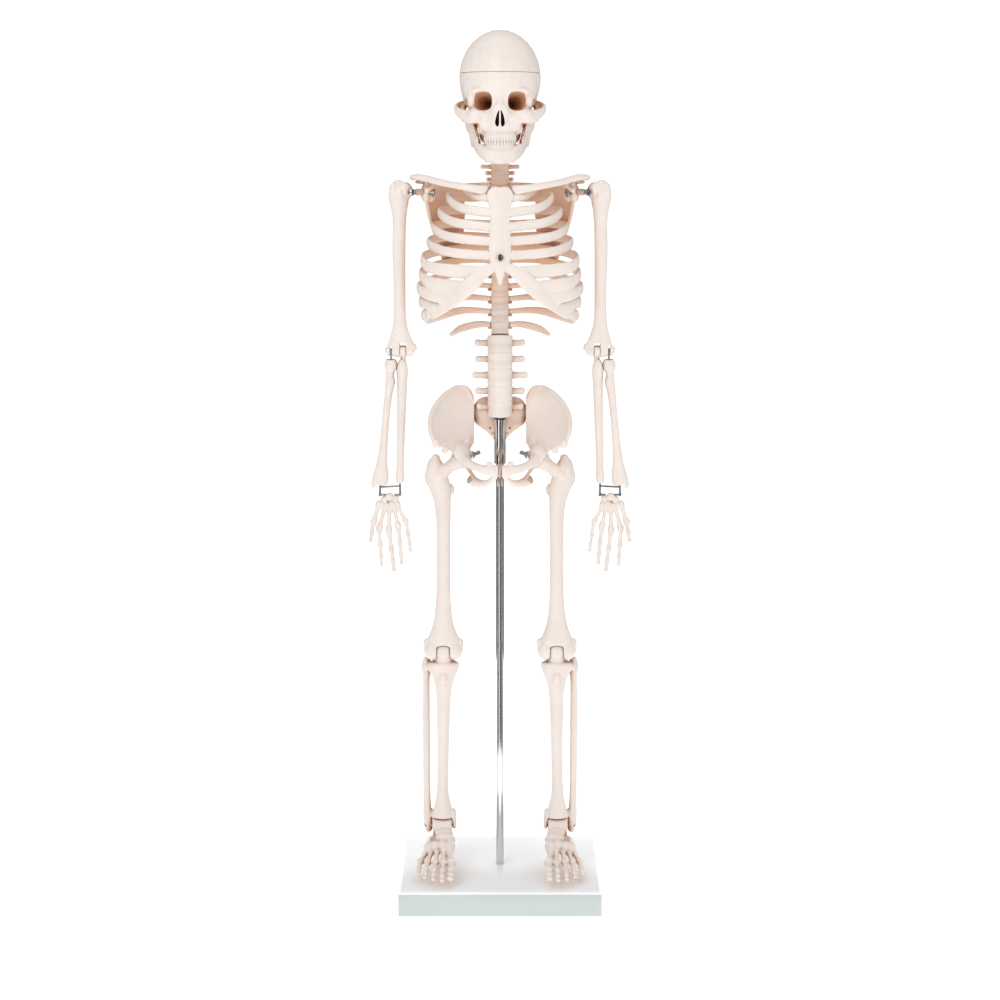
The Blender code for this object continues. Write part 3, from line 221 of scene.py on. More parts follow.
def path(origin: Vector, rows: Sequence[Row], **options: Any) -> bpy.types.Object:
    """A tube through rows of (x, y, z, half width, half depth) in millimetres from origin."""
    return tube([(at(origin, x, y, z), w * MM, d * MM) for x, y, z, w, d in rows], **options)


def limb(top: Vector, bottom: Vector, rows: Sequence[Row], **options: Any) -> bpy.types.Object:
    """A tube beside the line top-bottom: rows of (share, x offset, y offset, half width, half depth)."""
    return tube([(at(top.lerp(bottom, t), x, y, 0), w * MM, d * MM) for t, x, y, w, d in rows], **options)


def lump(
    origin: Vector,
    x: float,
    y: float,
    z: float,
    radii: Sequence[float],
    turn: Sequence[float] = (0, 0, 0),
) -> bpy.types.Object:
    """A rounded swelling.

    Args:
        origin: the landmark it is placed from.
        x: millimetres to the skeleton's left.
        y: millimetres back.
        z: millimetres up.
        radii: the three half sizes, in millimetres.
        turn: rotation in degrees.

    Returns:
        The ellipsoid, with its place in its mesh.
    """
    deselect()
    bpy.ops.mesh.primitive_uv_sphere_add(
        segments=24,
        ring_count=16,
        radius=1,
        location=at(origin, x, y, z),
        rotation=[math.radians(a) for a in turn],
        scale=[r * MM for r in radii],
    )
    return apply_place(bpy.context.object)


def peg(start: Vector, end: Vector, radius: float, sides: int = 32, edge: float = 0.0) -> bpy.types.Object:
    """A round bar, with its end edges bevelled by edge."""
    deselect()
    span = end - start
    bpy.ops.mesh.primitive_cylinder_add(
        vertices=sides,
        radius=radius,
        depth=span.length,
        location=(start + end) / 2,
        rotation=span.to_track_quat("Z", "Y").to_euler(),
    )
    made = apply_place(bpy.context.object)
    if edge:
        bevel(made, edge)
    return made


def brick(low: Vector, high: Vector) -> bpy.types.Object:
    """A block between two corners, used to cut with."""
    deselect()
    bpy.ops.mesh.primitive_cube_add(size=1, location=(low + high) / 2, scale=[abs(v) for v in (high - low)])
    return apply_place(bpy.context.object)


def bevel(made: bpy.types.Object, width: float, segments: int = 2, angle: float = 40) -> None:
    """Rounds every edge sharper than angle."""
    modifier = made.modifiers.new("round", "BEVEL")
    modifier.width = width
    modifier.segments = segments
    modifier.limit_method = "ANGLE"
    modifier.angle_limit = math.radians(angle)
    settle(made, modifier)


def settle(made: bpy.types.Object, modifier: bpy.types.Modifier) -> None:
    """Applies a modifier."""
    pick(made)
    bpy.ops.object.modifier_apply(modifier=modifier.name)


def sheet(grid: Sequence[Sequence[Vector]], thickness: float) -> bpy.types.Object:
    """Thickens a curved grid of points into a plate.

    Args:
        grid: rows of equally many points.
        thickness: the plate's thickness, in metres.

    Returns:
        The plate.
    """
    deselect()
    bpy.ops.mesh.primitive_grid_add(x_subdivisions=len(grid[0]) - 1, y_subdivisions=len(grid) - 1, size=1)
    made = bpy.context.object
    flat = [point for row in grid for point in row]
    for vertex, point in zip(made.data.vertices, flat):
        vertex.co = point
    modifier = made.modifiers.new("thick", "SOLIDIFY")
    modifier.thickness = thickness
    modifier.offset = 0
    settle(made, modifier)
    pick(made)
    bpy.ops.object.mode_set(mode="EDIT")
    bpy.ops.mesh.select_all(action="SELECT")
    bpy.ops.mesh.normals_make_consistent(inside=False)
    bpy.ops.object.mode_set(mode="OBJECT")
    return made


def join(shapes: Sequence[bpy.types.Object]) -> bpy.types.Object:
    """Makes one object of several, without melting them together."""
    pick(*shapes)
    if len(shapes) > 1:
        bpy.ops.object.join()
    return bpy.context.object


def fuse(shapes: Sequence[bpy.types.Object], voxel: float = 0.6, smooth: int = 4) -> bpy.types.Object:
    """Melts overlapping shapes into one skin and softens it, as in a casting.

    Args:
        shapes: the shapes to melt.
        voxel: the grain of the new skin, in millimetres.
        smooth: how often the skin is relaxed.

    Returns:
        The fused body.
    """
    made = join(shapes)
    remesh = made.modifiers.new("melt", "REMESH")
    remesh.mode = "VOXEL"
    remesh.voxel_size = voxel * MM
    settle(made, remesh)
    if smooth:
        relax = made.modifiers.new("relax", "SMOOTH")
        relax.factor = 0.5
        relax.iterations = smooth
        settle(made, relax)
    return made


def cut(made: bpy.types.Object, cutters: Sequence[bpy.types.Object], keep: bool = False) -> bpy.types.Object:
    """Takes the cutters' space out of a body.

    Args:
        made: the body.
        cutters: what to remove.
        keep: leaves the cutters for another body.

    Returns:
        The same body, cut.
    """
    for cutter in cutters:
        modifier = made.modifiers.new("cut", "BOOLEAN")
        modifier.operation = "DIFFERENCE"
        modifier.solver = "MANIFOLD"
        modifier.object = cutter
        settle(made, modifier)
        if not keep:
            bpy.data.objects.remove(cutter)
    return made


def copy_of(made: bpy.types.Object) -> bpy.types.Object:
    """A copy with a mesh of its own."""
    pick(made)
    bpy.ops.object.duplicate()
    return bpy.context.object


def mirror_of(made: bpy.types.Object) -> bpy.types.Object:
    """A copy mirrored across the body's middle."""
    twin = copy_of(made)
    twin.scale.x = -1
    apply_place(twin)
    measure = bmesh.new()
    measure.from_mesh(twin.data)
    inside_out = measure.calc_volume(signed=True) < 0
    measure.free()
    if inside_out:
        pick(twin)
        bpy.ops.object.mode_set(mode="EDIT")
        bpy.ops.mesh.select_all(action="SELECT")
        bpy.ops.mesh.flip_normals()
        bpy.ops.object.mode_set(mode="OBJECT")
    return twin


# --- Shader maths ---------------------------------------------------------------------------------
@dataclass
class Wire:
    """A shader socket that takes part in Python arithmetic."""

    tree: bpy.types.NodeTree
    socket: bpy.types.NodeSocket

    def _math(self, operation: str, *values: Union["Wire", Number]) -> "Wire":
        """Adds a Math node on these values."""
        return Shop(self.tree).node("ShaderNodeMath", {"operation": operation}, dict(enumerate(values)))

    def __add__(self, other: Union["Wire", Number]) -> "Wire":
        """Sum."""
        return self._math("ADD", self, other)

    def __radd__(self, other: Number) -> "Wire":
        """Sum, number first."""
        return self._math("ADD", other, self)

    def __sub__(self, other: Union["Wire", Number]) -> "Wire":
        """Difference."""
        return self._math("SUBTRACT", self, other)

    def __rsub__(self, other: Number) -> "Wire":
        """Difference, number first."""
        return self._math("SUBTRACT", other, self)

    def __mul__(self, other: Union["Wire", Number]) -> "Wire":
        """Product."""
        return self._math("MULTIPLY", self, other)

    def __rmul__(self, other: Number) -> "Wire":
        """Product, number first."""
        return self._math("MULTIPLY", other, self)

    def __lt__(self, other: Number) -> "Wire":
        """1 where this value is below the other, else 0."""
        return self._math("LESS_THAN", self, other)

    def near(self, middle: float, reach: float) -> "Wire":
        """1 within reach of middle, else 0."""
        return self._math("COMPARE", self, middle, reach)


@dataclass
class Shop:
    """Adds nodes to one shader tree."""

    tree: bpy.types.NodeTree

    def node(self, kind: str, settings: dict[str, Any], inputs: dict[Any, Any], output: Any = 0) -> Wire:
        """Adds one node.

        Args:
            kind: the node's type.
            settings: its own properties, set first.
            inputs: values or wires for its sockets, by name or number.
            output: the socket to return.

        Returns:
            The chosen output.
        """
        made = self.tree.nodes.new(kind)
        for name, value in settings.items():
            setattr(made, name, value)
        for key, value in inputs.items():
            if isinstance(value, Wire):
                self.tree.links.new(value.socket, made.inputs[key])
            else:
                made.inputs[key].default_value = value
        return Wire(self.tree, made.outputs[output])

    def place(self) -> Wire:
        """Object coordinates."""
        return self.node("ShaderNodeTexCoord", {}, {}, "Object")

    def noise(self, scale: float, detail: float = 3, rough: float = 0.5) -> Wire:
        """Soft noise from 0 to 1, with scale blobs to the metre."""
        inputs = {"Vector": self.place(), "Scale": scale, "Detail": detail, "Roughness": rough}
        return self.node("ShaderNodeTexNoise", {}, inputs, "Fac")

    def mix(self, share: Wire, low: Sequence[float], high: Union[Wire, Sequence[float]]) -> Wire:
        """Mixes two colours."""
        return self.node(
            "ShaderNodeMix",
            {"data_type": "RGBA", "clamp_factor": True},
            {
                0: share,
                6: low if isinstance(low, Wire) else (*low, 1),
                7: high if isinstance(high, Wire) else (*high, 1),
            },
            2,
        )

    def bump(self, height: Wire, distance: float, strength: float = 1.0) -> Wire:
        """A normal from a height."""
        return self.node(
            "ShaderNodeBump", {}, {"Height": height, "Distance": distance, "Strength": strength}, "Normal"
        )


def fresh(name: str, constants: dict[str, Any]) -> tuple[bpy.types.Material, Shop, bpy.types.Node]:
    """Starts a material.

    Args:
        name: its name.
        constants: what is set once on the shader.

    Returns:
        The material, its shop and its shader.
    """
    material = bpy.data.materials.new(name)
    material.use_nodes = True
    tree = material.node_tree
    shader = tree.nodes["Principled BSDF"]
    for key, value in constants.items():
        shader.inputs[key].default_value = value
    return material, Shop(tree), shader


@dataclass(frozen=True)
class BonePlastic:
    """Satin vinyl cast, ivory where it is open, with painted shade: warm orange-brown where it is closed in
    and dark brown in its crevices.
    """

    name: str = "bone_vinyl"
    ivory: tuple[float, float, float] = (0.765, 0.70, 0.655)
    blush: tuple[float, float, float] = (0.73, 0.635, 0.575)
    # glow: painted warm shade, the orange put where the bone is closed in or faces forward at the back of the
    # body
    glow: tuple[float, float, float] = (0.80, 0.50, 0.315)
    # recess: painted shade, the dark brown put in crevices and tight corners
    recess: tuple[float, float, float] = (0.36, 0.15, 0.065)
    reach: float = 0.012
    wide_reach: float = 0.085
    gloss: float = 0.34

    def material(self) -> bpy.types.Material:
        """The finish as nodes."""
        material, shop, shader = fresh(
            self.name,
            {
                "Subsurface Weight": 0.12,
                "Subsurface Radius": (0.006, 0.003, 0.0015),
                "Subsurface Scale": 1.0,
                "Coat Weight": 0.12,
                "Coat Roughness": 0.2,
                "IOR": 1.46,
            },
        )
        links = shop.tree.links
        patches = shop.noise(55, 3)
        grain = shop.noise(420, 4, 0.6)
        pores = shop.noise(1900, 2, 0.7)
        # Occlusion masks for the painted shade: near finds crevices, wide finds closed-in spaces
        near = shop.node("ShaderNodeAmbientOcclusion", {"samples": 8}, {"Distance": self.reach}, "AO")
        wide = shop.node("ShaderNodeAmbientOcclusion", {"samples": 8}, {"Distance": self.wide_reach}, "AO")
        tint = shop.mix(patches * 1.4 - 0.35, self.ivory, self.blush)
        # Painted warm shade where the bone is closed in, from the wide occlusion
        warm = shop.mix(wide * 2.0 - 0.42, self.glow, tint)
        # Painted warm shade on surfaces at the back of the body that face forward, into the shade inside the
        # body
        depth = shop.node("ShaderNodeSeparateXYZ", {}, {0: shop.place()}, "Y")
        normal = shop.node("ShaderNodeTexCoord", {}, {}, "Normal")
        facing = shop.node("ShaderNodeSeparateXYZ", {}, {0: normal}, "Y")
        inner = shop.mix(facing * 1.5 + 1.15, self.glow, warm)
        warm = shop.mix((depth - 0.007) * 24, warm, inner)
        # Painted dark shade in crevices, from the near occlusion
        colour = shop.mix(near * 1.7 - 0.3, self.recess, warm)
        links.new(colour.socket, shader.inputs["Base Color"])
        rough = self.gloss + patches * 0.08 + grain * 0.1
        links.new(rough.socket, shader.inputs["Roughness"])
        relief = shop.bump(grain * 0.7 + pores * 0.3, 0.00022, 0.5)
        links.new(relief.socket, shader.inputs["Normal"])
        return material


@dataclass(frozen=True)
class Plating:
    """Bright plated metal with faint wiping marks."""

    name: str
    colour: tuple[float, float, float] = (0.72, 0.73, 0.75)
    gloss: float = 0.07
    marks: float = 0.06

    def material(self) -> bpy.types.Material:
        """The finish as nodes."""
        material, shop, shader = fresh(self.name, {"Metallic": 1.0})
        links = shop.tree.links
        cloud = shop.noise(140, 3)
        fine = shop.noise(2400, 2, 0.6)
        tint = shop.mix(cloud, self.colour, tuple(c * 0.9 for c in self.colour))
        links.new(tint.socket, shader.inputs["Base Color"])
        rough = self.gloss + cloud * self.marks + fine * self.marks * 0.6
        links.new(rough.socket, shader.inputs["Roughness"])
        links.new(shop.bump(fine, 0.00003, 0.4).socket, shader.inputs["Normal"])
        return material


@dataclass(frozen=True)
class Moulding:
    """Plain moulded or laminated surface with a fine grain."""

    name: str
    colour: tuple[float, float, float]
    gloss: float = 0.4
    grain: float = 900
    relief: float = 0.00008
    coat: float = 0.0

    def material(self) -> bpy.types.Material:
        """The finish as nodes."""
        material, shop, shader = fresh(self.name, {"Coat Weight": self.coat, "Coat Roughness": 0.12})
        links = shop.tree.links
        cloud = shop.noise(35, 3)
        fine = shop.noise(self.grain, 3, 0.6)
        darker = tuple(c * 0.955 for c in self.colour)
        links.new(shop.mix(cloud * 0.8 + fine * 0.2, self.colour, darker).socket, shader.inputs["Base Color"])
        rough = self.gloss + cloud * 0.05 + fine * 0.06
        links.new(rough.socket, shader.inputs["Roughness"])
        links.new(shop.bump(fine, self.relief, 0.6).socket, shader.inputs["Normal"])
        return material


@dataclass
class Finishes:
    """Every material, made once."""

    bone: bpy.types.Material = field(default_factory=lambda: BonePlastic().material())
    chrome: bpy.types.Material = field(default_factory=lambda: Plating("rod_plating").material())
    screw: bpy.types.Material = field(
        default_factory=lambda: Plating("screw_plating", (0.6, 0.61, 0.63), 0.16).material()
    )
    steel: bpy.types.Material = field(
        default_factory=lambda: Plating("plain_steel", (0.42, 0.42, 0.44), 0.3, 0.12).material()
    )
    # Near-black finish of the thin bars that stand in for the shade inside screw recesses: painted shade
    socket: bpy.types.Material = field(
        default_factory=lambda: Moulding("drive_recess", (0.03, 0.03, 0.032), 0.5).material()
    )
    dark: bpy.types.Material = field(
        default_factory=lambda: Moulding("dark_ring", (0.03, 0.03, 0.035), 0.35).material()
    )
    spacer: bpy.types.Material = field(
        default_factory=lambda: Moulding("spacer", (0.55, 0.36, 0.28), 0.45).material()
    )
    washer: bpy.types.Material = field(
        default_factory=lambda: Moulding("washer", (0.74, 0.8, 0.76), 0.3, coat=0.3).material()
    )
    board: bpy.types.Material = field(
        default_factory=lambda: Moulding("laminate_top", (0.93, 0.945, 0.96), 0.16, coat=0.35).material()
    )
    edge: bpy.types.Material = field(
        default_factory=lambda: Moulding("laminate_edge", (0.52, 0.585, 0.575), 0.24, coat=0.2).material()
    )


def place_piece(
    made: bpy.types.Object,
    name: str,
    body: str,
    material: bpy.types.Material,
    stands_for: Sequence[str] = (),
    sharp: float = 0.0,
) -> bpy.types.Object:
    """Names, shades and dresses a finished piece and hands it to its body.

    Args:
        made: the piece.
        name: its name.
        body: the body that it rides on.
        material: its finish.
        stands_for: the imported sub-parts that it replaces.
        sharp: edges sharper than this many degrees stay sharp; 0 smooths all.

    Returns:
        The same piece.
    """
    made.name = name
    made.data.name = name
    made.data.materials.clear()
    made.data.materials.append(material)
    for layer in list(made.data.attributes):
        if layer.name == "corner":
            made.data.attributes.remove(layer)
    pick(made)
    if sharp:
        bpy.ops.object.shade_smooth_by_angle(angle=math.radians(sharp))
    else:
        bpy.ops.object.shade_smooth()
    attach(made, body)
    if stands_for:
        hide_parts(*stands_for)
    LOG.info("%s rides on %s with %d faces", name, body, len(made.data.polygons))
    return made


def place_pair(
    made: bpy.types.Object,
    name: str,
    body: str,
    material: bpy.types.Material,
    stands_for: Sequence[str] = (),
    sharp: float = 0.0,
) -> None:
    """Places a left-hand piece and its mirrored twin; {} in the names stands for the side.

    Args:
        made: the left-hand piece.
        name: the pieces' name.
        body: the body of that side, or one body for both.
        material: their finish.
        stands_for: the sub-parts replaced.
        sharp: as in place_piece.
    """
    twin = mirror_of(made)
    for side, each in ((Side.LEFT, made), (Side.RIGHT, twin)):
        word = side.word
        nodes = [n.format(word) for n in stands_for]
        place_piece(each, name.format(word), body.format(word), material, nodes, sharp)


# --- Stand ----------------------------------------------------------------------------------------
@dataclass
class Stand:
    """Base board, rod, sleeve and collar."""

    chamfer: float = 2.2 * MM
    rod_radius: float = 4 * MM

    def build(self, looks: Finishes) -> None:
        """Makes every piece of the stand."""
        self.board(looks)
        self.rod(looks)

    def board(self, looks: Finishes) -> None:
        """Laminated board with a bevelled top edge and banded sides."""
        low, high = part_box("base_plate")
        made = brick(low, high)
        pick(made)
        bpy.ops.object.mode_set(mode="EDIT")
        bpy.ops.mesh.select_all(action="DESELECT")
        shape = bmesh.from_edit_mesh(made.data)
        for face in shape.faces:
            face.select = face.normal.z > 0.9
        bmesh.update_edit_mesh(made.data)
        bpy.ops.mesh.bevel(offset=self.chamfer, segments=1, affect="EDGES")
        bpy.ops.object.mode_set(mode="OBJECT")
        bevel(made, 0.35 * MM, 2, 25)
        foot = Vector((0, 0, -0.01))
        recess = peg(foot, Vector((0, 0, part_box("base_bolt")[0].z + 6 * MM)), 6.6 * MM)
        bore = peg(foot, Vector((0, 0, high.z + 0.01)), 2.8 * MM)
        cut(made, [recess, bore])
        place_piece(made, "base_board", "trunk", looks.board, ["base_plate"], 30)
        made.data.materials.append(looks.edge)
        for face in made.data.polygons:
            if abs(face.normal.z) < 0.5 or face.normal.z < -0.5:
                face.material_index = 1

    def rod(self, looks: Finishes) -> None:
        """Rod, its wide sleeve below the spine and the dark ring on top of the sleeve."""
        low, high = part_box("stand_rod")
        made = peg(Z_AXIS * low.z, Z_AXIS * high.z, self.rod_radius, 64, 0.4 * MM)
        cut(made, [peg(Z_AXIS * (low.z - 0.01), Z_AXIS * (low.z + 18 * MM), 2.8 * MM)])
        place_piece(made, "rod", "trunk", looks.chrome, ["stand_rod"], 40)
        for node, name, material, slot in (
            ("rod_sleeve", "sleeve", looks.chrome, "rod_chrome"),
            ("rod_collar", "collar", looks.dark, "dark_plastic"),
        ):
            low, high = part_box(node)
            middle = Vector((0, 0, 1))
            ring = peg(middle * low.z, middle * high.z, high.x, 64, 0.6 * MM)
            cut(
                ring, [peg(middle * (low.z - 0.01), middle * (high.z + 0.01), self.rod_radius + 0.3 * MM, 64)]
            )
            place_piece(ring, name, "trunk", material, [node], 40)


# --- Spine ----------------------------------------------------------------------------------------
@dataclass
class Column:
    """A run of vertebrae cast as one bar."""

    name: str
    node: str
    low: Vector
    high: Vector
    count: int
    width: float
    depth: float
    bow: float
    spans: Sequence[float]
    span_back: float
    span_size: float
    spine_reach: float
    spine_drop: float
    disc: float = 0.9
    waist: float = 0.9

    def point(self, t: float) -> Vector:
        """The column's middle at a share of its height."""
        return self.low.lerp(self.high, t) + Y_AXIS * self.bow * math.sin(math.pi * t)

    def build(self, looks: Finishes, cutters: Sequence[bpy.types.Object] = ()) -> None:
        """Makes the bodies, discs, arches and processes of the run."""
        shapes = []
        rows = []
        for i in range(self.count):
            for share, size in (
                (0.0, self.disc), (0.07, 0.99), (0.16, 1.0), (0.5, self.waist), (0.84, 1.0), (0.93, 0.99)
            ):
                t = (i + share) / self.count
                rows.append((self.point(t), self.width * size * MM, self.depth * size * MM))
        rows.append((self.high.copy(), self.width * MM, self.depth * MM))
        rows[0] = (self.low.copy(), self.width * MM, self.depth * MM)
        shapes.append(tube(rows, sides=28, blunt=True))
        for i in range(self.count):
            middle = self.point((i + 0.5) / self.count)
            span = self.spans[i % len(self.spans)]
            size = self.span_size
            back = self.depth * 0.72
            shapes.append(
                path(
                    middle,
                    [
                        (-span, back + self.span_back, 0.6, size * 0.9, size * 0.85),
                        (-span * 0.72, back + self.span_back * 0.7, 0.4, size * 0.78, size * 0.75),
                        (0, back + 1, 0, size * 1.3, size * 1.6),
                        (span * 0.72, back + self.span_back * 0.7, 0.4, size * 0.78, size * 0.75),
                        (span, back + self.span_back, 0.6, size * 0.9, size * 0.85),
                    ],
                    across=Z_AXIS,
                    sides=12,
                    steps=17,
                )
            )
            reach, drop = self.spine_reach, self.spine_drop
            shapes.append(
                path(
                    middle,
                    [
                        (0, back, 0, 1.8, 3.4),
                        (0, back + reach * 0.6, -drop * 0.5, 1.1, 3.0),
                        (0, back + reach, -drop, 1.5, 2.6),
                    ],
                    sides=12,
                    steps=7,
                )
            )
            for side in (-1, 1):
                shapes.append(lump(middle, side * self.width * 0.62, back + 2.5, 3.2, (2.2, 2.4, 4.2)))
        made = cut(fuse(shapes, 0.6, 3), cutters)
        place_piece(made, self.name, "trunk", looks.bone, [self.node])


def build_spine(looks: Finishes) -> None:
    """Lumbar, thoracic and cervical runs, each a casting of its own."""
    rod = peg(Vector((0, 0, 0.3)), Vector((0, 0, LOIN.z + 20 * MM)), 4.3 * MM)
    Column(
        "lumbar_bones", "lumbar_spine", LOIN, LUMBAR_TOP - Z_AXIS * 0.3 * MM, 5, 12.3, 10.4, -4 * MM,
        (20.5, 21.5, 24.2, 21.5, 22.0), -2, 3.9, 16, 2, 0.93, 0.9,
    ).build(looks, [rod])
    Column(
        "thoracic_bones", "thoracic_spine", LUMBAR_TOP, THORAX_TOP - Z_AXIS * 0.3 * MM, 12, 8.8, 8.0, 13 * MM,
        (10.5,), 6, 2.3, 11, 7, 0.94, 0.9,
    ).build(looks)
    bore = peg(at(NECK_TOP, 0, 0, -14), at(NECK_TOP, 0, 0, 10), 2.3 * MM)
    Column(
        "cervical_bones", "cervical_spine", THORAX_TOP, NECK_TOP - Z_AXIS * 3 * MM, 7, 8.7, 7.2, -3 * MM,
        (11.5, 12.5, 17, 13, 12.5, 12.5, 15), -2, 2.5, 9, 2.5, 0.9, 0.88,
    ).build(looks, [bore])


# --- Rib cage -------------------------------------------------------------------------------------
@dataclass
class Cage:
    """Breast bone, eleven pairs of ribs with their cartilage arch, and the short free pair below."""

    widths: Sequence[float] = (0.45, 0.645, 0.751, 0.83, 0.888, 0.938, 0.965, 1.0, 0.98, 0.955, 0.9)
    arch: Sequence[Sequence[float]] = (
        (15, -58, 65), (27, -57, 54), (40, -51, 43.5), (52, -41, 34), (62, -27, 26)
    )
    bow: float = 13 * MM
    pitch: float = 14.05

    def spine(self, t: float) -> Vector:
        """Middle of the thoracic column at a share of its height."""
        return LUMBAR_TOP.lerp(THORAX_TOP, t) + Y_AXIS * self.bow * math.sin(math.pi * t)

    def rib(self, index: int) -> bpy.types.Object:
        """One rib of the left side, from its vertebra to the breast bone or the arch."""
        spine = self.spine(1 - (index + 0.12) / 12)
        low = Vector((0, 0, LUMBAR_TOP.z))
        width = CHEST_HALF_WIDTH * self.widths[index] / MM
        side = at(spine, 9.0, 2, 0)
        back = at(spine, 0.55 * width, 20 - 3 * (index == 0), -1)
        flank = Vector(
            (
                (width - 0.4) * MM,
                (3 + 0.4 * index) * MM,
                THORAX_TOP.z + max(min(2 - self.pitch * index, -4), -129) * MM,
            )
        )
        if index < 5:
            front_z = THORAX_TOP.z - (13 + 13 * index) * MM
            front = Vector((6 * MM, -(47 + 2.5 * index) * MM, front_z))
            cheek = Vector((0.74 * width * MM, -(34 + 2 * index) * MM, (2 * front_z + flank.z) / 3))
        elif index < 10:
            here = at(low, *self.arch[min(index - 5, 4)])
            front = here.lerp(at(low, *self.arch[min(index - 4, 4)]), 0.4)
            cheek = Vector((0.9 * width * MM, front.y * 0.62, front.z * 0.62 + flank.z * 0.38))
            if index == 5:
                front += Z_AXIS * 3.6 * MM
                cheek += Z_AXIS * 1.4 * MM
        else:
            cheek = at(low, 68, -19, 25)
            front = None
        points = [p for p in (side, back, flank, cheek, front) if p]
        heights = (2.6, 3.9, 4.6, 4.8, 4.7) if index else (2.6, 3.3, 3.9, 4.0, 3.9)
        if index > 4:
            heights = (2.6, 3.9, 5.0, 6.0, 7.0)
        rows = [(p, h * MM, 1.95 * MM) for p, h in zip(points, heights)]
        return tube(rows, across=Z_AXIS, sides=14, steps=34)

    def build(self, looks: Finishes) -> None:
        """Makes both halves, the breast bone, its screw and the free ribs."""
        low = Vector((0, 0, LUMBAR_TOP.z))
        shapes = [self.rib(i) for i in range(11)]
        points = [(0.5, -58, 73), *self.arch, (67, -14, 22)]
        heights = (4, 6.2, 7.8, 8.4, 8, 7, 4.2)
        shapes.append(
            path(low, [(*p, h, 1.9) for p, h in zip(points, heights)], across=Z_AXIS, sides=18, steps=30)
        )
        half = fuse(shapes, 0.88, 4)
        screw = Vector((0, -57 * MM, THORAX_TOP.z - 66 * MM))
        bore = peg(screw - Y_AXIS * 0.03, screw + Y_AXIS * 0.02, 1.8 * MM)
        cut(half, [bore], keep=True)
        place_pair(half, "ribs_{}", "trunk", looks.bone, [])
        top = Vector((0, 0, THORAX_TOP.z))
        plate = path(
            top,
            [
                (0, -45, -3.6, 9.4, 2.6),
                (0, -45.5, -8, 12.4, 3.1),
                (0, -46.6, -14, 11.8, 3.1),
                (0, -48, -21, 9.9, 3),
                (0, -50, -31, 9.4, 2.9),
                (0, -52.4, -43, 9.9, 2.9),
                (0, -55, -56, 10.6, 3),
                (0, -57.4, -68, 10.2, 3),
                (0, -58, -75, 6.6, 2.6),
                (0, -58.5, -82, 4, 2.1),
                (0, -58.2, -90, 1.9, 1.6),
            ],
            sides=28,
            steps=40,
        )
        notch = lump(top, 0, -45, 1.0, (6, 6, 4))
        made = cut(fuse([plate], 0.6, 3), [notch, bore])
        place_piece(made, "breast_bone", "trunk", looks.bone, ["rib_cage"])
        self.screw(screw, looks)
        self.free_ribs(looks)

    def screw(self, place: Vector, looks: Finishes) -> None:
        """Round-headed screw, with painted shade for its cross recess: a thin dark cross on the head, not a
        cut.
        """
        front = place - Y_AXIS * 3.4 * MM
        head = peg(front - Y_AXIS * 1.9 * MM, front, 3.2 * MM, 48, 0.8 * MM)
        shank = peg(front - Y_AXIS * 0.5 * MM, place + Y_AXIS * 7 * MM, 1.5 * MM)
        made = join([head, shank])
        place_piece(made, "breast_screw", "trunk", looks.screw, ["sternum_screw"], 40)
        # The cross recess is not cut: two thin near-black bars on the head's face are painted shade for it
        face = front - Y_AXIS * 1.95 * MM
        shade_bars = []
        for turn in (20, 110):
            bar = brick(face - Vector((1.7, 0.06, 0.42)) * MM, face + Vector((1.7, 0.06, 0.42)) * MM)
            spin = Matrix.Rotation(math.radians(turn), 4, "Y")
            bar.data.transform(Matrix.Translation(face) @ spin @ Matrix.Translation(-face))
            shade_bars.append(bar)
        place_piece(join(shade_bars), "breast_screw_cross", "trunk", looks.socket, [], 40)

    def free_ribs(self, looks: Finishes) -> None:
        """The lowest pair, which end free."""
        spine = self.spine(0.07)
        rows = [
            (at(spine, 9.6, 2, 0), 2.6, 1.9),
            (at(spine, 22, 13, -1), 3.4, 2),
            (at(spine, 38, 12, -5), 3.6, 1.9),
            (at(spine, 48, 2, -10), 1.8, 1.3),
        ]
        made = tube([(p, h * MM, d * MM) for p, h, d in rows], across=Z_AXIS, sides=16, steps=22)
        place_pair(made, "free_rib_{}", "trunk", looks.bone, ["floating_rib_{}"])


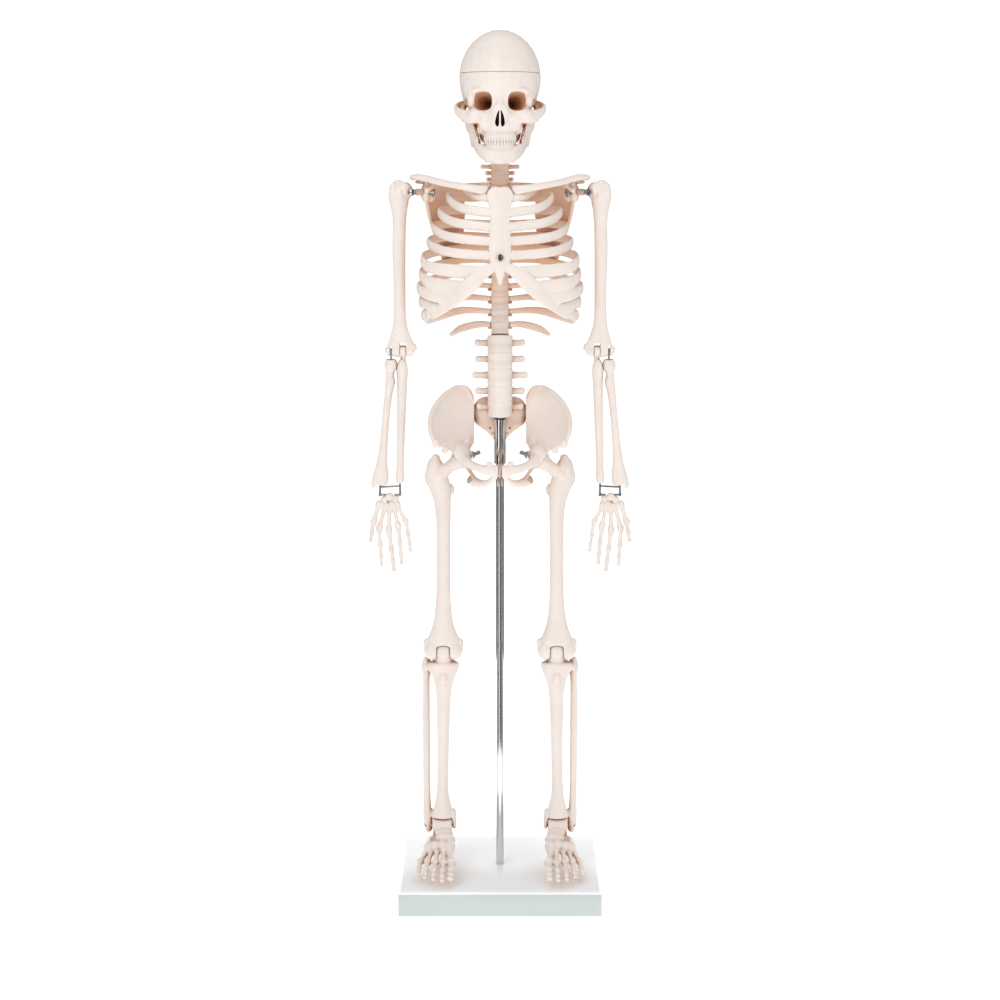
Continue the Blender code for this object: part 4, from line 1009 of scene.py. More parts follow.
# --- Shoulder girdle ------------------------------------------------------------------------------
@dataclass
class ShoulderGirdle:
    """Collar bones, shoulder blades and the eye bolts that carry the arms."""

    def build(self, looks: Finishes) -> None:
        """Makes the girdle of both sides."""
        self.collar_bone(looks)
        self.blade(looks)
        self.hardware(looks)

    def collar_bone(self, looks: Finishes) -> None:
        """S-shaped bar, deep at its inner end and flat at its outer."""
        reach = SHOULDER.x / MM
        rows = [
            (13.2, -41, -5.4, 3.6, 4.9),
            (17, -42, -4.8, 3.4, 4.5),
            (27, -43, -3.2, 2.9, 3.5),
            (42, -36, -0.8, 2.9, 3.1),
            (0.66 * reach, -25, 1.6, 3.2, 3.1),
            (0.8 * reach, -14, 4.4, 4.0, 3.2),
            (0.92 * reach, -5, 6.0, 4.9, 3.1),
            (0.985 * reach, 0, 5.8, 3.8, 2.5),
        ]
        made = path(Vector((0, 0, THORAX_TOP.z)), rows, across=Y_AXIS, sides=20, steps=40)
        place_pair(made, "collar_bone_{}", "trunk", looks.bone, ["clavicle_{}"])

    def blade(self, looks: Finishes) -> None:
        """Triangular plate with its ridge, shelf, beak and socket."""
        sections = [
            (-73, -33.8, 44, -31, 41.2, 0.2),
            (-62, -41, 47, -28, 34, 1),
            (-45, -46, 50, -22.5, 27, 2.2),
            (-28, -48, 51, -17.5, 20, 2.4),
            (-12, -48, 51, -14.5, 13, 2.4),
            (0, -47, 50, -15, 11.5, 2),
            (8.5, -44, 47, -27, 28, 1),
        ]
        grid = []
        for z, bx, by, fx, fy, bulge in spline(sections, 24):
            start, end = Vector((bx, by)), Vector((fx, fy))
            normal = (end - start).orthogonal().normalized()
            if normal.x < 0:
                normal = -normal
            row = []
            for i in range(15):
                share = i / 14
                flat = start.lerp(end, share) + normal * bulge * 4 * share * (1 - share)
                row.append(at(SHOULDER, flat.x, flat.y, z))
            grid.append(row)
        shapes = [sheet(grid, 2.0 * MM)]
        edge = [grid[i][0] for i in range(0, 24, 3)]
        shapes.append(tube([(p, 1.6 * MM, 1.5 * MM) for p in edge], sides=12, steps=24))
        edge = [grid[i][-1] for i in range(0, 21, 3)]
        shapes.append(tube([(p, 2.1 * MM, 1.9 * MM) for p in edge], sides=12, steps=24))
        shapes.append(lump(SHOULDER, -13.5, 5, -1, (5, 7.6, 9.4)))
        shapes.append(lump(SHOULDER, -18, 9, -2, (5.5, 7, 7.6)))
        shapes.append(
            path(
                SHOULDER,
                [
                    (-46, 50, 2, 2.6, 1.8),
                    (-36, 43, 4.4, 3.6, 1.9),
                    (-26, 32, 7, 4.2, 1.9),
                    (-16, 20, 8.8, 4.2, 1.9),
                    (-10.5, 9, 9.4, 5, 1.9),
                    (-7, 2, 9.4, 4.4, 1.8),
                ],
                across=Y_AXIS,
                sides=16,
                steps=26,
            )
        )
        web = []
        for z in (-1, 2.5, 6):
            web.append([at(SHOULDER, x, y, z) for x, y in ((-43, 46), (-33, 38), (-23, 27), (-17, 18))])
        shapes.append(sheet(web, 2.2 * MM))
        shapes.append(
            path(
                SHOULDER,
                [
                    (-18, 6, 5, 3.4, 3.4),
                    (-19.5, -3, 5.6, 2.9, 3),
                    (-18, -9, 4, 2.6, 2.6),
                    (-15, -12.5, 1.5, 2.3, 2.3),
                ],
                across=Z_AXIS,
                sides=14,
                steps=14,
            )
        )
        made = fuse(shapes, 0.66, 4)
        cut(
            made,
            [
                peg(at(SHOULDER, -60, 0, 0), at(SHOULDER, 0, 0, 0), 2.1 * MM),
                peg(at(SHOULDER, -60, 0, 0), at(SHOULDER, -19.5, 0, 0), 6 * MM),
                lump(SHOULDER, -6.2, 3, -1, (3.4, 5.6, 7)),
                peg(at(SHOULDER, -3.3, 0, 0), at(SHOULDER, 12, 0, 0), 9.6 * MM, 48),
            ],
        )
        place_pair(made, "shoulder_blade_{}", "trunk", looks.bone, ["scapula_{}"])

    def hardware(self, looks: Finishes) -> None:
        """Eye bolt with its nut, the tube round it, and the screw through the eye."""
        shank = peg(at(SHOULDER, -23, 0, 0), at(SHOULDER, -2.4, 0, 0), 1.5 * MM)
        nut = peg(at(SHOULDER, -22.5, 0, 0), at(SHOULDER, -20, 0, 0), 3 * MM, 6, 0.2 * MM)
        flange = peg(at(SHOULDER, -4.0, 0, 0), at(SHOULDER, -3.0, 0, 0), 2.6 * MM, 24, 0.2 * MM)
        eye = peg(at(SHOULDER, 0, -1.4, 0), at(SHOULDER, 0, 1.4, 0), 3.4 * MM, 40, 0.4 * MM)
        cut(eye, [peg(at(SHOULDER, 0, -9, 0), at(SHOULDER, 0, 9, 0), 1.5 * MM)])
        made = join([shank, nut, flange, eye])
        place_pair(made, "eye_bolt_{}", "shoulder_{}", looks.screw, ["shoulder_bolt_{}"], 40)
        ring = peg(at(SHOULDER, -11.6, 0, 0), at(SHOULDER, -4.1, 0, 0), 3.1 * MM, 40, 0.3 * MM)
        cut(ring, [peg(at(SHOULDER, -20, 0, 0), at(SHOULDER, 2, 0, 0), 1.8 * MM)])
        place_pair(
            ring, "bolt_tube_{}", "shoulder_{}", looks.spacer, ["shoulder_sleeve_{}"], 40
        )
        shank = peg(at(SHOULDER, 0, -7.4, 0), at(SHOULDER, 0, 6, 0), 1.2 * MM)
        head = peg(at(SHOULDER, 0, -8.8, 0), at(SHOULDER, 0, -7, 0), 2.9 * MM, 40, 0.6 * MM)
        made = join([shank, head])
        place_pair(
            made, "shoulder_screw_{}", "upper_arm_{}", looks.screw, ["shoulder_pin_{}"], 40
        )
        # The screw's slot is not cut: a thin near-black bar on its head is painted shade for it
        face = at(SHOULDER, 0, -8.82, 0)
        slot = brick(face - Vector((1.9, 0.06, 0.4)) * MM, face + Vector((1.9, 0.06, 0.4)) * MM)
        place_pair(slot, "shoulder_screw_slot_{}", "upper_arm_{}", looks.socket, [], 40)


# --- Arm ------------------------------------------------------------------------------------------
@dataclass
class Arm:
    """Upper arm, forearm, hand and their hardware."""

    ulna_x: float = -3
    radius_x: float = 8.5
    digits: Sequence[Sequence[Any]] = (
        ((17.0, -28), (19.4, -45), 3.0),
        ((11.2, -34), (8.9, -69), 2.8),
        ((1.6, -36.5), (-3.6, -74.5), 2.9),
        ((-7.6, -32), (-11.2, -67), 2.8),
        ((-15.4, -27), (-19.8, -54.5), 2.6),
    )

    def build(self, looks: Finishes) -> None:
        """Makes both arms."""
        self.humerus(looks)
        self.forearm(looks)
        self.wire(looks)
        self.hand(looks)

    def humerus(self, looks: Finishes) -> None:
        """Upper arm bone with its ball, tubercles and the fork for the forearm."""
        rows = [
            (-0.05, 0.8, 1, 5, 5),
            (-0.02, 0.5, 1, 8.6, 8),
            (0.02, 0.4, 1, 9.7, 9),
            (0.07, 0.2, 0.8, 8.9, 8.4),
            (0.13, 0, 0.5, 7.2, 7),
            (0.22, 0, 0, 6.2, 6.2),
            (0.35, 0.5, 0, 6.3, 5.9),
            (0.55, 0.1, 0, 5.7, 5.6),
            (0.75, 0, 0, 5.8, 5),
            (0.84, -0.2, 0, 7, 4.7),
            (0.9, -0.5, 0, 9.6, 4.6),
            (0.95, -0.8, 0, 12.4, 4.6),
            (0.985, -0.8, 0, 13.2, 4.6),
            (1.012, -0.8, 0, 12.2, 4.4),
        ]
        shapes = [limb(ARM, ELBOW, rows, sides=24, steps=60)]
        shapes.append(lump(ARM, -4.6, 1.5, 1, (8.2, 8.4, 8.8)))
        shapes.append(lump(ARM, 5, -3, 1.5, (4.6, 5, 8)))
        shapes.append(lump(ARM, -1, -6, -3, (3, 3, 6)))
        shapes.append(lump(ELBOW, -13, 0.5, 3.4, (3.4, 3.6, 4.2)))
        shapes.append(lump(ELBOW, 10.6, 0, 1, (4, 4.4, 4.2)))
        shapes.append(peg(at(ELBOW, -13, 0, 0), at(ELBOW, 12, 0, 0), 4.3 * MM))
        made = fuse(shapes, 0.6, 4)
        cut(
            made,
            [
                peg(at(SHOULDER, 0, -20, 0), at(SHOULDER, 0, 20, 0), 1.4 * MM),
                brick(at(SHOULDER, -9, -1.9, -14), at(SHOULDER, 4.2, 1.9, 14)),
                peg(at(ELBOW, -30, 0, 0), at(ELBOW, 30, 0, 0), 1.4 * MM),
                brick(at(ELBOW, self.ulna_x - 3.1, -20, -20), at(ELBOW, self.ulna_x + 3.1, 20, 8)),
                brick(at(ELBOW, self.radius_x - 1.1, -20, -20), at(ELBOW, self.radius_x + 1.1, 20, 5)),
            ],
        )
        place_pair(made, "upper_arm_bone_{}", "upper_arm_{}", looks.bone, ["humerus_{}"])
        made = peg(at(ELBOW, -13, 0, 0), at(ELBOW, 11.6, 0, 0), 1.2 * MM, 24, 0.2 * MM)
        place_pair(made, "elbow_rod_{}", "upper_arm_{}", looks.steel, ["elbow_pin_{}"], 40)

    def forearm(self, looks: Finishes) -> None:
        """Both forearm bones and the screw eye between the radius and the elbow."""
        high = at(ELBOW, self.ulna_x, 0, 0)
        low = Vector((WRIST.x - 9.7 * MM, 0, WRIST.z + 13 * MM))
        rows = [
            (0.075, 0.4, 0, 3.0, 4.6),
            (0.1, 0.5, 0, 4.8, 5),
            (0.15, 0.3, 0, 5.6, 5.2),
            (0.24, 0, 0, 4.8, 4.8),
            (0.4, 0, 0, 4.4, 4.3),
            (0.7, 0, 0, 3.7, 3.8),
            (0.88, 0, 0, 3.4, 3.5),
            (0.95, 0, 0, 4.4, 4.2),
            (0.99, 0, 0, 4.2, 4),
        ]
        shapes = [limb(high, low, rows, sides=20, steps=44)]
        shapes.append(peg(at(high, -2.7, 0, 0), at(high, 2.7, 0, 0), 5.6 * MM))
        shapes.append(
            path(
                high,
                [(0, 1.5, -14, 2.6, 4.6), (0, 3, -6, 2.6, 4.6), (0, 4.4, 1, 2.6, 3.2), (0, 4.6, 3, 2.3, 2.4)],
                sides=16,
            )
        )
        made = fuse(shapes, 0.54, 2)
        hole = peg(at(high, -9, 0, 0), at(high, 9, 0, 0), 1.4 * MM)
        trims = [brick(at(high, s * 2.75, -12, -8.5), at(high, s * 12, 12, 12)) for s in (-1, 1)]
        cut(made, [hole, *trims, peg(at(low, 0, 0, -5), at(low, 0, 0, 7), 1.1 * MM)])
        place_pair(made, "ulna_bone_{}", "forearm_{}", looks.bone, ["ulna_{}"])
        high = at(ELBOW, self.radius_x, 0, -11)
        low = Vector((WRIST.x + 9.8 * MM, 0, WRIST.z + 10.5 * MM))
        rows = [
            (0.0, 0, 0, 5.8, 5.6),
            (0.02, 0, 0, 6.3, 6),
            (0.045, 0, 0, 5.9, 5.6),
            (0.075, 0, 0, 4, 4),
            (0.11, 0, 0, 3.9, 3.9),
            (0.16, -0.8, -0.4, 4.7, 4.5),
            (0.24, -0.2, 0, 3.9, 3.9),
            (0.4, 0.2, 0, 3.5, 3.6),
            (0.62, 0, -1, 3.8, 3.7),
            (0.8, 0, -1, 5, 4.5),
            (0.92, 0, 0, 7.6, 5.2),
            (0.975, 0.4, 0, 8.2, 5.2),
        ]
        made = fuse([limb(high, low, rows, sides=20, steps=50), lump(low, 6.6, 0, 0, (2.2, 3, 4.2))], 0.54, 2)
        cut(
            made,
            [
                peg(at(low, 0, 0, -5), at(low, 0, 0, 7), 1.1 * MM),
                peg(at(high, 0, 0, -7), at(high, 0, 0, 5), 1.1 * MM),
                lump(high, 0, 0, 3.6, (4.4, 4.2, 2.6)),
            ],
        )
        place_pair(made, "radius_bone_{}", "forearm_{}", looks.bone, ["radius_{}"])
        centre = at(ELBOW, self.radius_x, 0, 0)
        eye = peg(at(centre, -0.7, 0, 0), at(centre, 0.7, 0, 0), 2.9 * MM, 36, 0.3 * MM)
        cut(eye, [peg(at(centre, -4, 0, 0), at(centre, 4, 0, 0), 1.5 * MM)])
        shank = peg(at(centre, 0, 0, -16), at(centre, 0, 0, -2.4), 0.8 * MM, 20)
        made = join([eye, shank])
        place_pair(made, "elbow_eye_{}", "forearm_{}", looks.screw, ["elbow_hook_{}"], 40)

    def wire(self, looks: Finishes) -> None:
        """Bent wire with its two legs, its bar and the little screws at the wrist."""
        shapes = []
        for side in (-1, 1):
            out = 9.8 * side
            shapes.append(peg(at(WRIST, out, 0, -1.2), at(WRIST, out, 0, 16), 0.95 * MM, 20, 0.2 * MM))
            shapes.append(
                peg(at(WRIST, out + 0.6 * side, 0, 0), at(WRIST, 4.2 * side, 0, 0), 0.95 * MM, 20, 0.2 * MM)
            )
            shapes.append(peg(at(WRIST, out - 1.2, 0, 0), at(WRIST, out + 1.4, 0, 0), 1.7 * MM, 28, 0.3 * MM))
        shapes.append(
            path(WRIST, [(-9.8, 0, 8.6, 0.95, 0.95), (9.8, 0, 7.6, 0.95, 0.95)], across=Z_AXIS, sides=16)
        )
        place_pair(
            join(shapes), "wrist_bracket_{}", "forearm_{}", looks.steel, ["wrist_wire_{}"], 40
        )

    def hand(self, looks: Finishes) -> None:
        """Wrist pebbles, palm bones and jointed fingers, cast in one."""
        shapes = []
        for x, z, size in (
            (-5, -1.5, 3.6),
            (1, 0.2, 4.2),
            (5.6, -2.4, 3.6),
            (-6.8, -7.4, 3.7),
            (-1.6, -7.2, 4),
            (3.8, -8.4, 3.8),
            (8, -7.6, 3.3),
        ):
            shapes.append(lump(WRIST, x, 0, z - 2.4, (size, 4, size)))
        for i, (knuckle, tip, thick) in enumerate(self.digits):
            root = (knuckle[0] * 0.44 + (3.4 if i == 0 else 0), -11.5 if i else -8.5)
            shapes.append(self.digit(root, knuckle, tip, thick, i == 0))
        made = fuse(shapes, 0.46, 2)
        cut(made, [peg(at(WRIST, -20, 0, 0), at(WRIST, 20, 0, 0), 1.1 * MM, 20)])
        place_pair(made, "hand_bones_{}", "hand_{}", looks.bone, ["hand_{}"])

    def digit(
        self,
        root: Sequence[float],
        knuckle: Sequence[float],
        tip: Sequence[float],
        thick: float,
        thumb: bool,
    ) -> bpy.types.Object:
        """One palm bone and its finger, swollen at each knuckle.

        Args:
            root: x and z of its start at the wrist.
            knuckle: x and z of its first knuckle.
            tip: x and z of its tip.
            thick: its half width.
            thumb: true for the thumb, which has one joint fewer.

        Returns:
            The digit.
        """
        joints = (0.0, 0.56, 1.0) if thumb else (0.0, 0.46, 0.76, 1.0)
        rows = []
        for share, size in (
            (0, 1.15), (0.12, 1.1), (0.3, 0.72), (0.5, 0.66), (0.72, 0.74), (0.88, 1.08), (0.97, 1.16)
        ):
            x = root[0] + (knuckle[0] - root[0]) * share
            z = root[1] + (knuckle[1] - root[1]) * share
            rows.append((x, -0.6 * share, z, thick * size, thick * size * 0.92))
        for first, second in zip(joints, joints[1:]):
            for share, size in ((0.08, 1.06), (0.3, 0.72), (0.6, 0.64), (0.86, 0.88), (0.97, 0.98)):
                t = first + (second - first) * share
                taper = 1 - 0.22 * t
                x = knuckle[0] + (tip[0] - knuckle[0]) * t
                z = knuckle[1] + (tip[1] - knuckle[1]) * t
                rows.append((x, -0.6 - 8.4 * t**1.6, z, thick * size * taper, thick * size * taper * 0.9))
        return path(WRIST, rows, sides=14)


# --- Pelvis ---------------------------------------------------------------------------------------
@dataclass
class Pelvis:
    """Hip bones, sacrum, disc and the bolts through the sockets."""

    sections: Sequence[Sequence[float]] = (
        (4, -6, 6, 8, -8, 0.5),
        (13, -12, 12, 15, -19, 2),
        (21, -15.5, 14, 22.5, -31, 3.5),
        (30, -16.5, 14, 27, -28.5, 4.5),
        (40, -16.5, 14, 28.4, -20, 5),
        (50, -15.5, 15, 25.5, -9, 4.5),
        (58, -11.5, 17, 19.5, 1, 3.5),
        (64, -9, 20, 12, 11, 2.5),
        (67.4, -4, 22, 4, 20, 1),
    )

    def build(self, looks: Finishes) -> None:
        """Makes the whole pelvis."""
        self.hip_bone(looks)
        self.sacrum(looks)
        disc = lump(HIP, -HIP.x / MM, -27, -7, (0.75, 3.8, 6.6))
        place_piece(disc, "pubic_cartilage", "trunk", looks.bone, ["pubic_disc"])
        self.bolts(looks)

    def wing_point(self, row: Sequence[float], share: float) -> Vector:
        """A point of the wing's middle surface."""
        z, bx, by, fx, fy, bulge = row
        start, end = Vector((bx, by)), Vector((fx, fy))
        normal = (end - start).orthogonal().normalized()
        if normal.x < 0:
            normal = -normal
        flat = start.lerp(end, share) + normal * bulge * 4 * share * (1 - share)
        return at(HIP, flat.x, flat.y, z)

    def hip_bone(self, looks: Finishes) -> None:
        """Flared wing with a thick crest, socket, pubic arch and sitting bone."""
        rows = spline(self.sections, 26)
        grid = [[self.wing_point(row, i / 18) for i in range(19)] for row in rows]
        shapes = [sheet(grid, 3.2 * MM)]
        crest = [self.wing_point(row, 0.995) for row in rows[5::2]] + [self.wing_point(rows[-1], 0.4)]
        crest += [self.wing_point(row, 0.01) for row in rows[::-2][:9]]
        shapes.append(tube([(p, 2.7 * MM, 2.4 * MM) for p in crest], across=Y_AXIS, sides=14, steps=60))
        shapes.append(lump(HIP, 22.4, -33, 21, (3.4, 3.6, 4.6)))
        shapes.append(lump(HIP, 13.5, -16, 12, (3.6, 4, 5)))
        shapes.append(lump(HIP, 1.4, 1, 3.2, (13, 13.6, 14.2)))
        brim = [
            (-10, 16, 34, 5, 4.4),
            (-7.6, 12, 24, 5, 4.6),
            (-4.6, 5, 13, 5.4, 5),
            (-3.2, -5, 4, 5.6, 5),
            (-7, -14, -0.6, 4.8, 4.6),
            (-18, -22.4, -4.6, 4.0, 4.2),
            (-30, -26.4, -6.6, 5.4, 4),
            (-35.2, -27, -7.4, 6.6, 3.8),
        ]
        shapes.append(path(HIP, brim, across=Z_AXIS, sides=18, steps=36))
        ring = [
            (-35.4, -27, -9.4, 3.6, 3.2),
            (-31.5, -23.5, -16, 3.1, 3),
            (-27, -17, -20.4, 3, 3.2),
            (-20.5, -8, -22.6, 3.7, 3.8),
            (-13, 1, -21.8, 5.2, 5),
            (-7, 7, -16.8, 6.2, 6),
            (-2, 9, -9, 6.6, 6.4),
            (2, 7, -3, 7, 6.4),
        ]
        shapes.append(path(HIP, ring, across=Y_AXIS, sides=18, steps=36))
        shapes.append(lump(HIP, -9.5, 25, 40, (6, 6.6, 14)))
        shapes.append(lump(HIP, -29, -27.4, 0.4, (3, 2.6, 2.4)))
        made = fuse(shapes, 0.68, 5)
        opening = Vector((0.81, 0, -0.59)).normalized()
        rim = HIP + opening * 1.2 * MM
        outside = peg(rim, rim + opening * 40 * MM, 24 * MM)
        cup = lump(HIP, 0, 0, 0, (10.1, 10.1, 10.1))
        bore = peg(HIP - HIP_AXIS * 40 * MM, HIP, 2.2 * MM)
        joint_face = brick(
            Vector((-60 * MM, 5 * MM, LOIN.z - 40 * MM)), Vector((25.3 * MM, 0.1, LOIN.z + 40 * MM))
        )
        middle = brick(Vector((-50 * MM, -0.1, HIP.z - 50 * MM)), Vector((1.0 * MM, 0.1, HIP.z + 50 * MM)))
        cut(made, [outside, cup, bore, joint_face, middle])
        place_pair(made, "hip_{}", "trunk", looks.bone, ["hip_bone_{}"])

    def sacrum(self, looks: Finishes) -> None:
        """Wedge with two pairs of holes and the little tail."""
        rows = [
            (0, 13.5, 13, 22.5, 5.5),
            (0, 11.2, 8, 25.6, 7.0),
            (0, 12, 1, 25.9, 7.6),
            (0, 14, -6, 25.4, 7),
            (0, 15.5, -10, 24, 6.4),
            (0, 18, -14.5, 18.4, 5.6),
            (0, 21, -19, 13, 4.8),
            (0, 24, -25.5, 7.4, 4),
            (0, 24, -33, 3.2, 2.8),
            (0, 22, -37.5, 2.2, 2),
        ]
        shapes = [path(LOIN, rows, sides=28, steps=36)]
        for z, y in ((8, 21), (0, 23), (-8, 26)):
            shapes.append(lump(LOIN, 0, y, z, (2, 4, 3.6)))
        made = fuse(shapes, 0.66, 4)
        cutters = [
            peg(at(LOIN, 0, 0, -0.4), at(LOIN, 0, 0, 40), 13.1 * MM, 48),
            peg(at(LOIN, 0, 0, -60), at(LOIN, 0, 0, 1), 6.8 * MM, 48),
        ]
        for x, y, z, size in ((9.6, 13.4, -14, 1.1), (6.8, 18.6, -20, 0.9)):
            for side in (-1, 1):
                cutters.append(lump(LOIN, side * x, y, z, (size, 4.6, size)))
        cut(made, cutters)
        place_piece(made, "sacral_bone", "trunk", looks.bone, ["sacrum"])

    def bolts(self, looks: Finishes) -> None:
        """Bolt, lock nut and pale washer of each hip."""
        shank = peg(HIP - HIP_AXIS * 21 * MM, HIP + HIP_AXIS * 9 * MM, 1.9 * MM, 32, 0.4 * MM)
        rings = []
        for step in range(4):
            place = HIP - HIP_AXIS * (20.2 - 0.62 * step) * MM
            rings.append(peg(place, place + HIP_AXIS * 0.3 * MM, 2.08 * MM, 24, 0.1 * MM))
        nut = peg(HIP - HIP_AXIS * 15.2 * MM, HIP - HIP_AXIS * 13.1 * MM, 3.4 * MM, 6, 0.3 * MM)
        made = join([shank, nut, *rings])
        place_pair(made, "hip_screw_{}", "thigh_{}", looks.steel, ["hip_bolt_{}"], 40)
        washer = peg(HIP - HIP_AXIS * 13.0 * MM, HIP - HIP_AXIS * 12.3 * MM, 5 * MM, 40, 0.2 * MM)
        place_pair(washer, "hip_washer_{}", "thigh_{}", looks.washer, [], 40)


# --- Leg ------------------------------------------------------------------------------------------
@dataclass
class Leg:
    """Thigh bone, shin with its splint bone, foot and the pins between them."""

    notch: float = 10.8
    notch_width: float = 10.6
    tongue: Sequence[float] = (9.8, 9.5, 9.9)
    toes: Sequence[Sequence[Any]] = (
        ((-10, -48, -21.5), (-9.4, -69, -29.2), 4.4),
        ((-2.4, -48, -21.5), (-1.4, -72, -29.8), 3.3),
        ((5.8, -45, -22.5), (7.2, -69, -30.0), 3.2),
        ((13.8, -41, -24), (15.6, -63, -30.4), 3.2),
        ((21.4, -35, -25.6), (22.8, -54, -30.6), 3.3),
    )

    def build(self, looks: Finishes) -> None:
        """Makes both legs."""
        self.femur(looks)
        self.shin(looks)
        self.foot(looks)
        for name, body, node, start, end in (
            ("knee_rod_{}", "thigh_{}", "knee_pin_{}", at(KNEE, -17, 0, 0), at(KNEE, 17, 0, 0)),
            ("ankle_rod_{}", "lower_leg_{}", "ankle_pin_{}", at(ANKLE, -12.6, 0, 0), at(ANKLE, 15.6, 0, 0)),
        ):
            place_pair(
                peg(start, end, 1.2 * MM, 24, 0.2 * MM), name, body, looks.steel, [node], 40
            )

    def femur(self, looks: Finishes) -> None:
        """Thigh bone with ball, neck, both trochanters and the knuckles of the knee."""
        rows = [
            (-0.004, 6.2, 4, 4, 4.6),
            (0.02, 6.8, 4, 7, 7),
            (0.055, 6.6, 3.4, 9.4, 8.8),
            (0.10, 5, 2.4, 10.8, 9.2),
            (0.15, 2.4, 1.4, 10.2, 8.7),
            (0.2, 0.4, 0.4, 8.8, 7.9),
            (0.27, -0.7, -0.8, 7.4, 7),
            (0.4, -1, -2.6, 6.7, 6.6),
            (0.65, -0.6, -3, 6.8, 6.6),
            (0.78, -0.2, -1.4, 7.9, 7),
            (0.86, 0, 0, 10.2, 7.8),
            (0.92, 0, 0, 14.2, 8.8),
            (0.955, 0, 0, 17, 9.4),
        ]
        shapes = [limb(at(HIP, 17.5, 2, 0), KNEE, rows, sides=24, steps=60)]
        shapes.append(lump(HIP, 29, 5, -19, (6, 7, 9)))
        shapes.append(lump(HIP, 24, 7, -7, (5.4, 5.4, 7)))
        shapes.append(
            path(
                HIP,
                [(3, 0, -2.6, 7.4, 7.4), (10, 1, -7.6, 6, 6), (16, 1.6, -12, 6.8, 6.8), (21, 2, -16, 9, 8)],
                across=Y_AXIS,
                sides=20,
                steps=14,
            )
        )
        shapes.append(lump(HIP, 10.4, 6, -31.5, (4.8, 4.6, 6.6)))
        for x in (-10.6, 10.6):
            shapes.append(lump(KNEE, x, 0.5, 0.2, (8.7, 10, 10)))
        shapes.append(lump(KNEE, -17, 1, 7, (3, 4.4, 5)))
        shapes.append(lump(KNEE, 17, 1, 7, (3, 4.4, 5)))
        made = fuse(shapes, 0.68, 4)
        ball = lump(HIP, 0, 0, 0, (9.3, 9.3, 9.3))
        seam = made.modifiers.new("ball", "BOOLEAN")
        seam.operation = "UNION"
        seam.solver = "MANIFOLD"
        seam.object = ball
        settle(made, seam)
        bpy.data.objects.remove(ball)
        cut(
            made,
            [
                peg(HIP - HIP_AXIS * 12 * MM, HIP + HIP_AXIS * 10 * MM, 2.1 * MM),
                lump(KNEE, 0, 0, 0, (self.notch_width, self.notch, self.notch)),
                peg(at(KNEE, -40, 0, 0), at(KNEE, 40, 0, 0), 1.4 * MM),
            ],
        )
        place_pair(made, "thigh_bone_{}", "thigh_{}", looks.bone, ["femur_{}"])

    def shin(self, looks: Finishes) -> None:
        """Shin bone with the knee tongue, and the splint bone joined to it at both ends."""
        plateau = at(KNEE, 0, 0, -10.8)
        rows = [
            (0.016, 0, 0.5, 14.6, 8.8),
            (0.035, 0, 0.5, 15.8, 9.4),
            (0.07, -0.2, 0.5, 13.4, 9),
            (0.12, -0.3, 0, 10, 8),
            (0.2, -0.4, -0.6, 7.6, 7.3),
            (0.32, -0.4, -0.8, 6.7, 6.8),
            (0.6, -0.2, -0.4, 5.8, 5.8),
            (0.78, 0, 0, 6, 5.8),
            (0.86, -0.3, 0, 8, 6.6),
            (0.92, -0.4, 0, 11, 7.5),
            (0.945, -0.4, 0, 12, 7.8),
        ]
        shapes = [limb(plateau, ANKLE, rows, sides=24, steps=60, blunt=True)]
        shapes.append(lump(KNEE, 0, 0, -0.4, self.tongue))
        shapes.append(lump(KNEE, 0, 0, -8, (8.6, 6.8, 7)))
        shapes.append(lump(KNEE, 0, 0.5, -14.3, (15.6, 9.4, 4.4)))
        shapes.append(lump(KNEE, 0, -8.0, -27, (3.6, 2.6, 6)))
        shapes.append(
            path(
                ANKLE,
                [(-11.0, 0, 15, 3, 6.4), (-11.9, 0, 6, 2.6, 5.8), (-12.2, 0, -1.6, 2.2, 4.6)],
                sides=16,
                steps=10,
            )
        )
        calf = [
            (-0.03, -0.4, 0, 3.8, 4),
            (0.01, -0.4, 0, 5.4, 5.2),
            (0.05, -0.2, 0, 4.6, 4.6),
            (0.1, 0, 0, 3.5, 3.6),
            (0.3, 0.2, 0, 3.9, 3.8),
            (0.7, -0.3, 0, 3.8, 3.8),
            (0.86, -0.6, 0, 4.1, 4.3),
            (0.93, -1.4, 0, 5.2, 5.4),
            (0.98, -2.0, 0, 5.0, 5),
            (1.02, -2.2, 0, 3.6, 3.8),
        ]
        shapes.append(limb(at(KNEE, 17.5, 12, -18), at(ANKLE, 16.4, 3, -2), calf, sides=18, steps=50))
        shapes.append(path(KNEE, [(9, 3, -17, 4, 4), (16, 9, -19.5, 3.4, 3.4)], across=Z_AXIS, sides=12))
        shapes.append(path(ANKLE, [(7, 1, 13.5, 2.6, 3.4), (14.5, 3, 14.5, 2.6, 3)], across=Z_AXIS, sides=12))
        made = fuse(shapes, 0.66, 4)
        cut(
            made,
            [
                peg(at(KNEE, -40, 0, 0), at(KNEE, 40, 0, 0), 1.4 * MM),
                peg(at(ANKLE, -40, 0, 0), at(ANKLE, 40, 0, 0), 1.4 * MM),
                peg(at(ANKLE, -10.0, 0, 0), at(ANKLE, 10.4, 0, 0), 10.0 * MM, 48, 1.5 * MM),
            ],
        )
        place_pair(made, "shin_bones_{}", "lower_leg_{}", looks.bone, ["shin_{}"], 50)

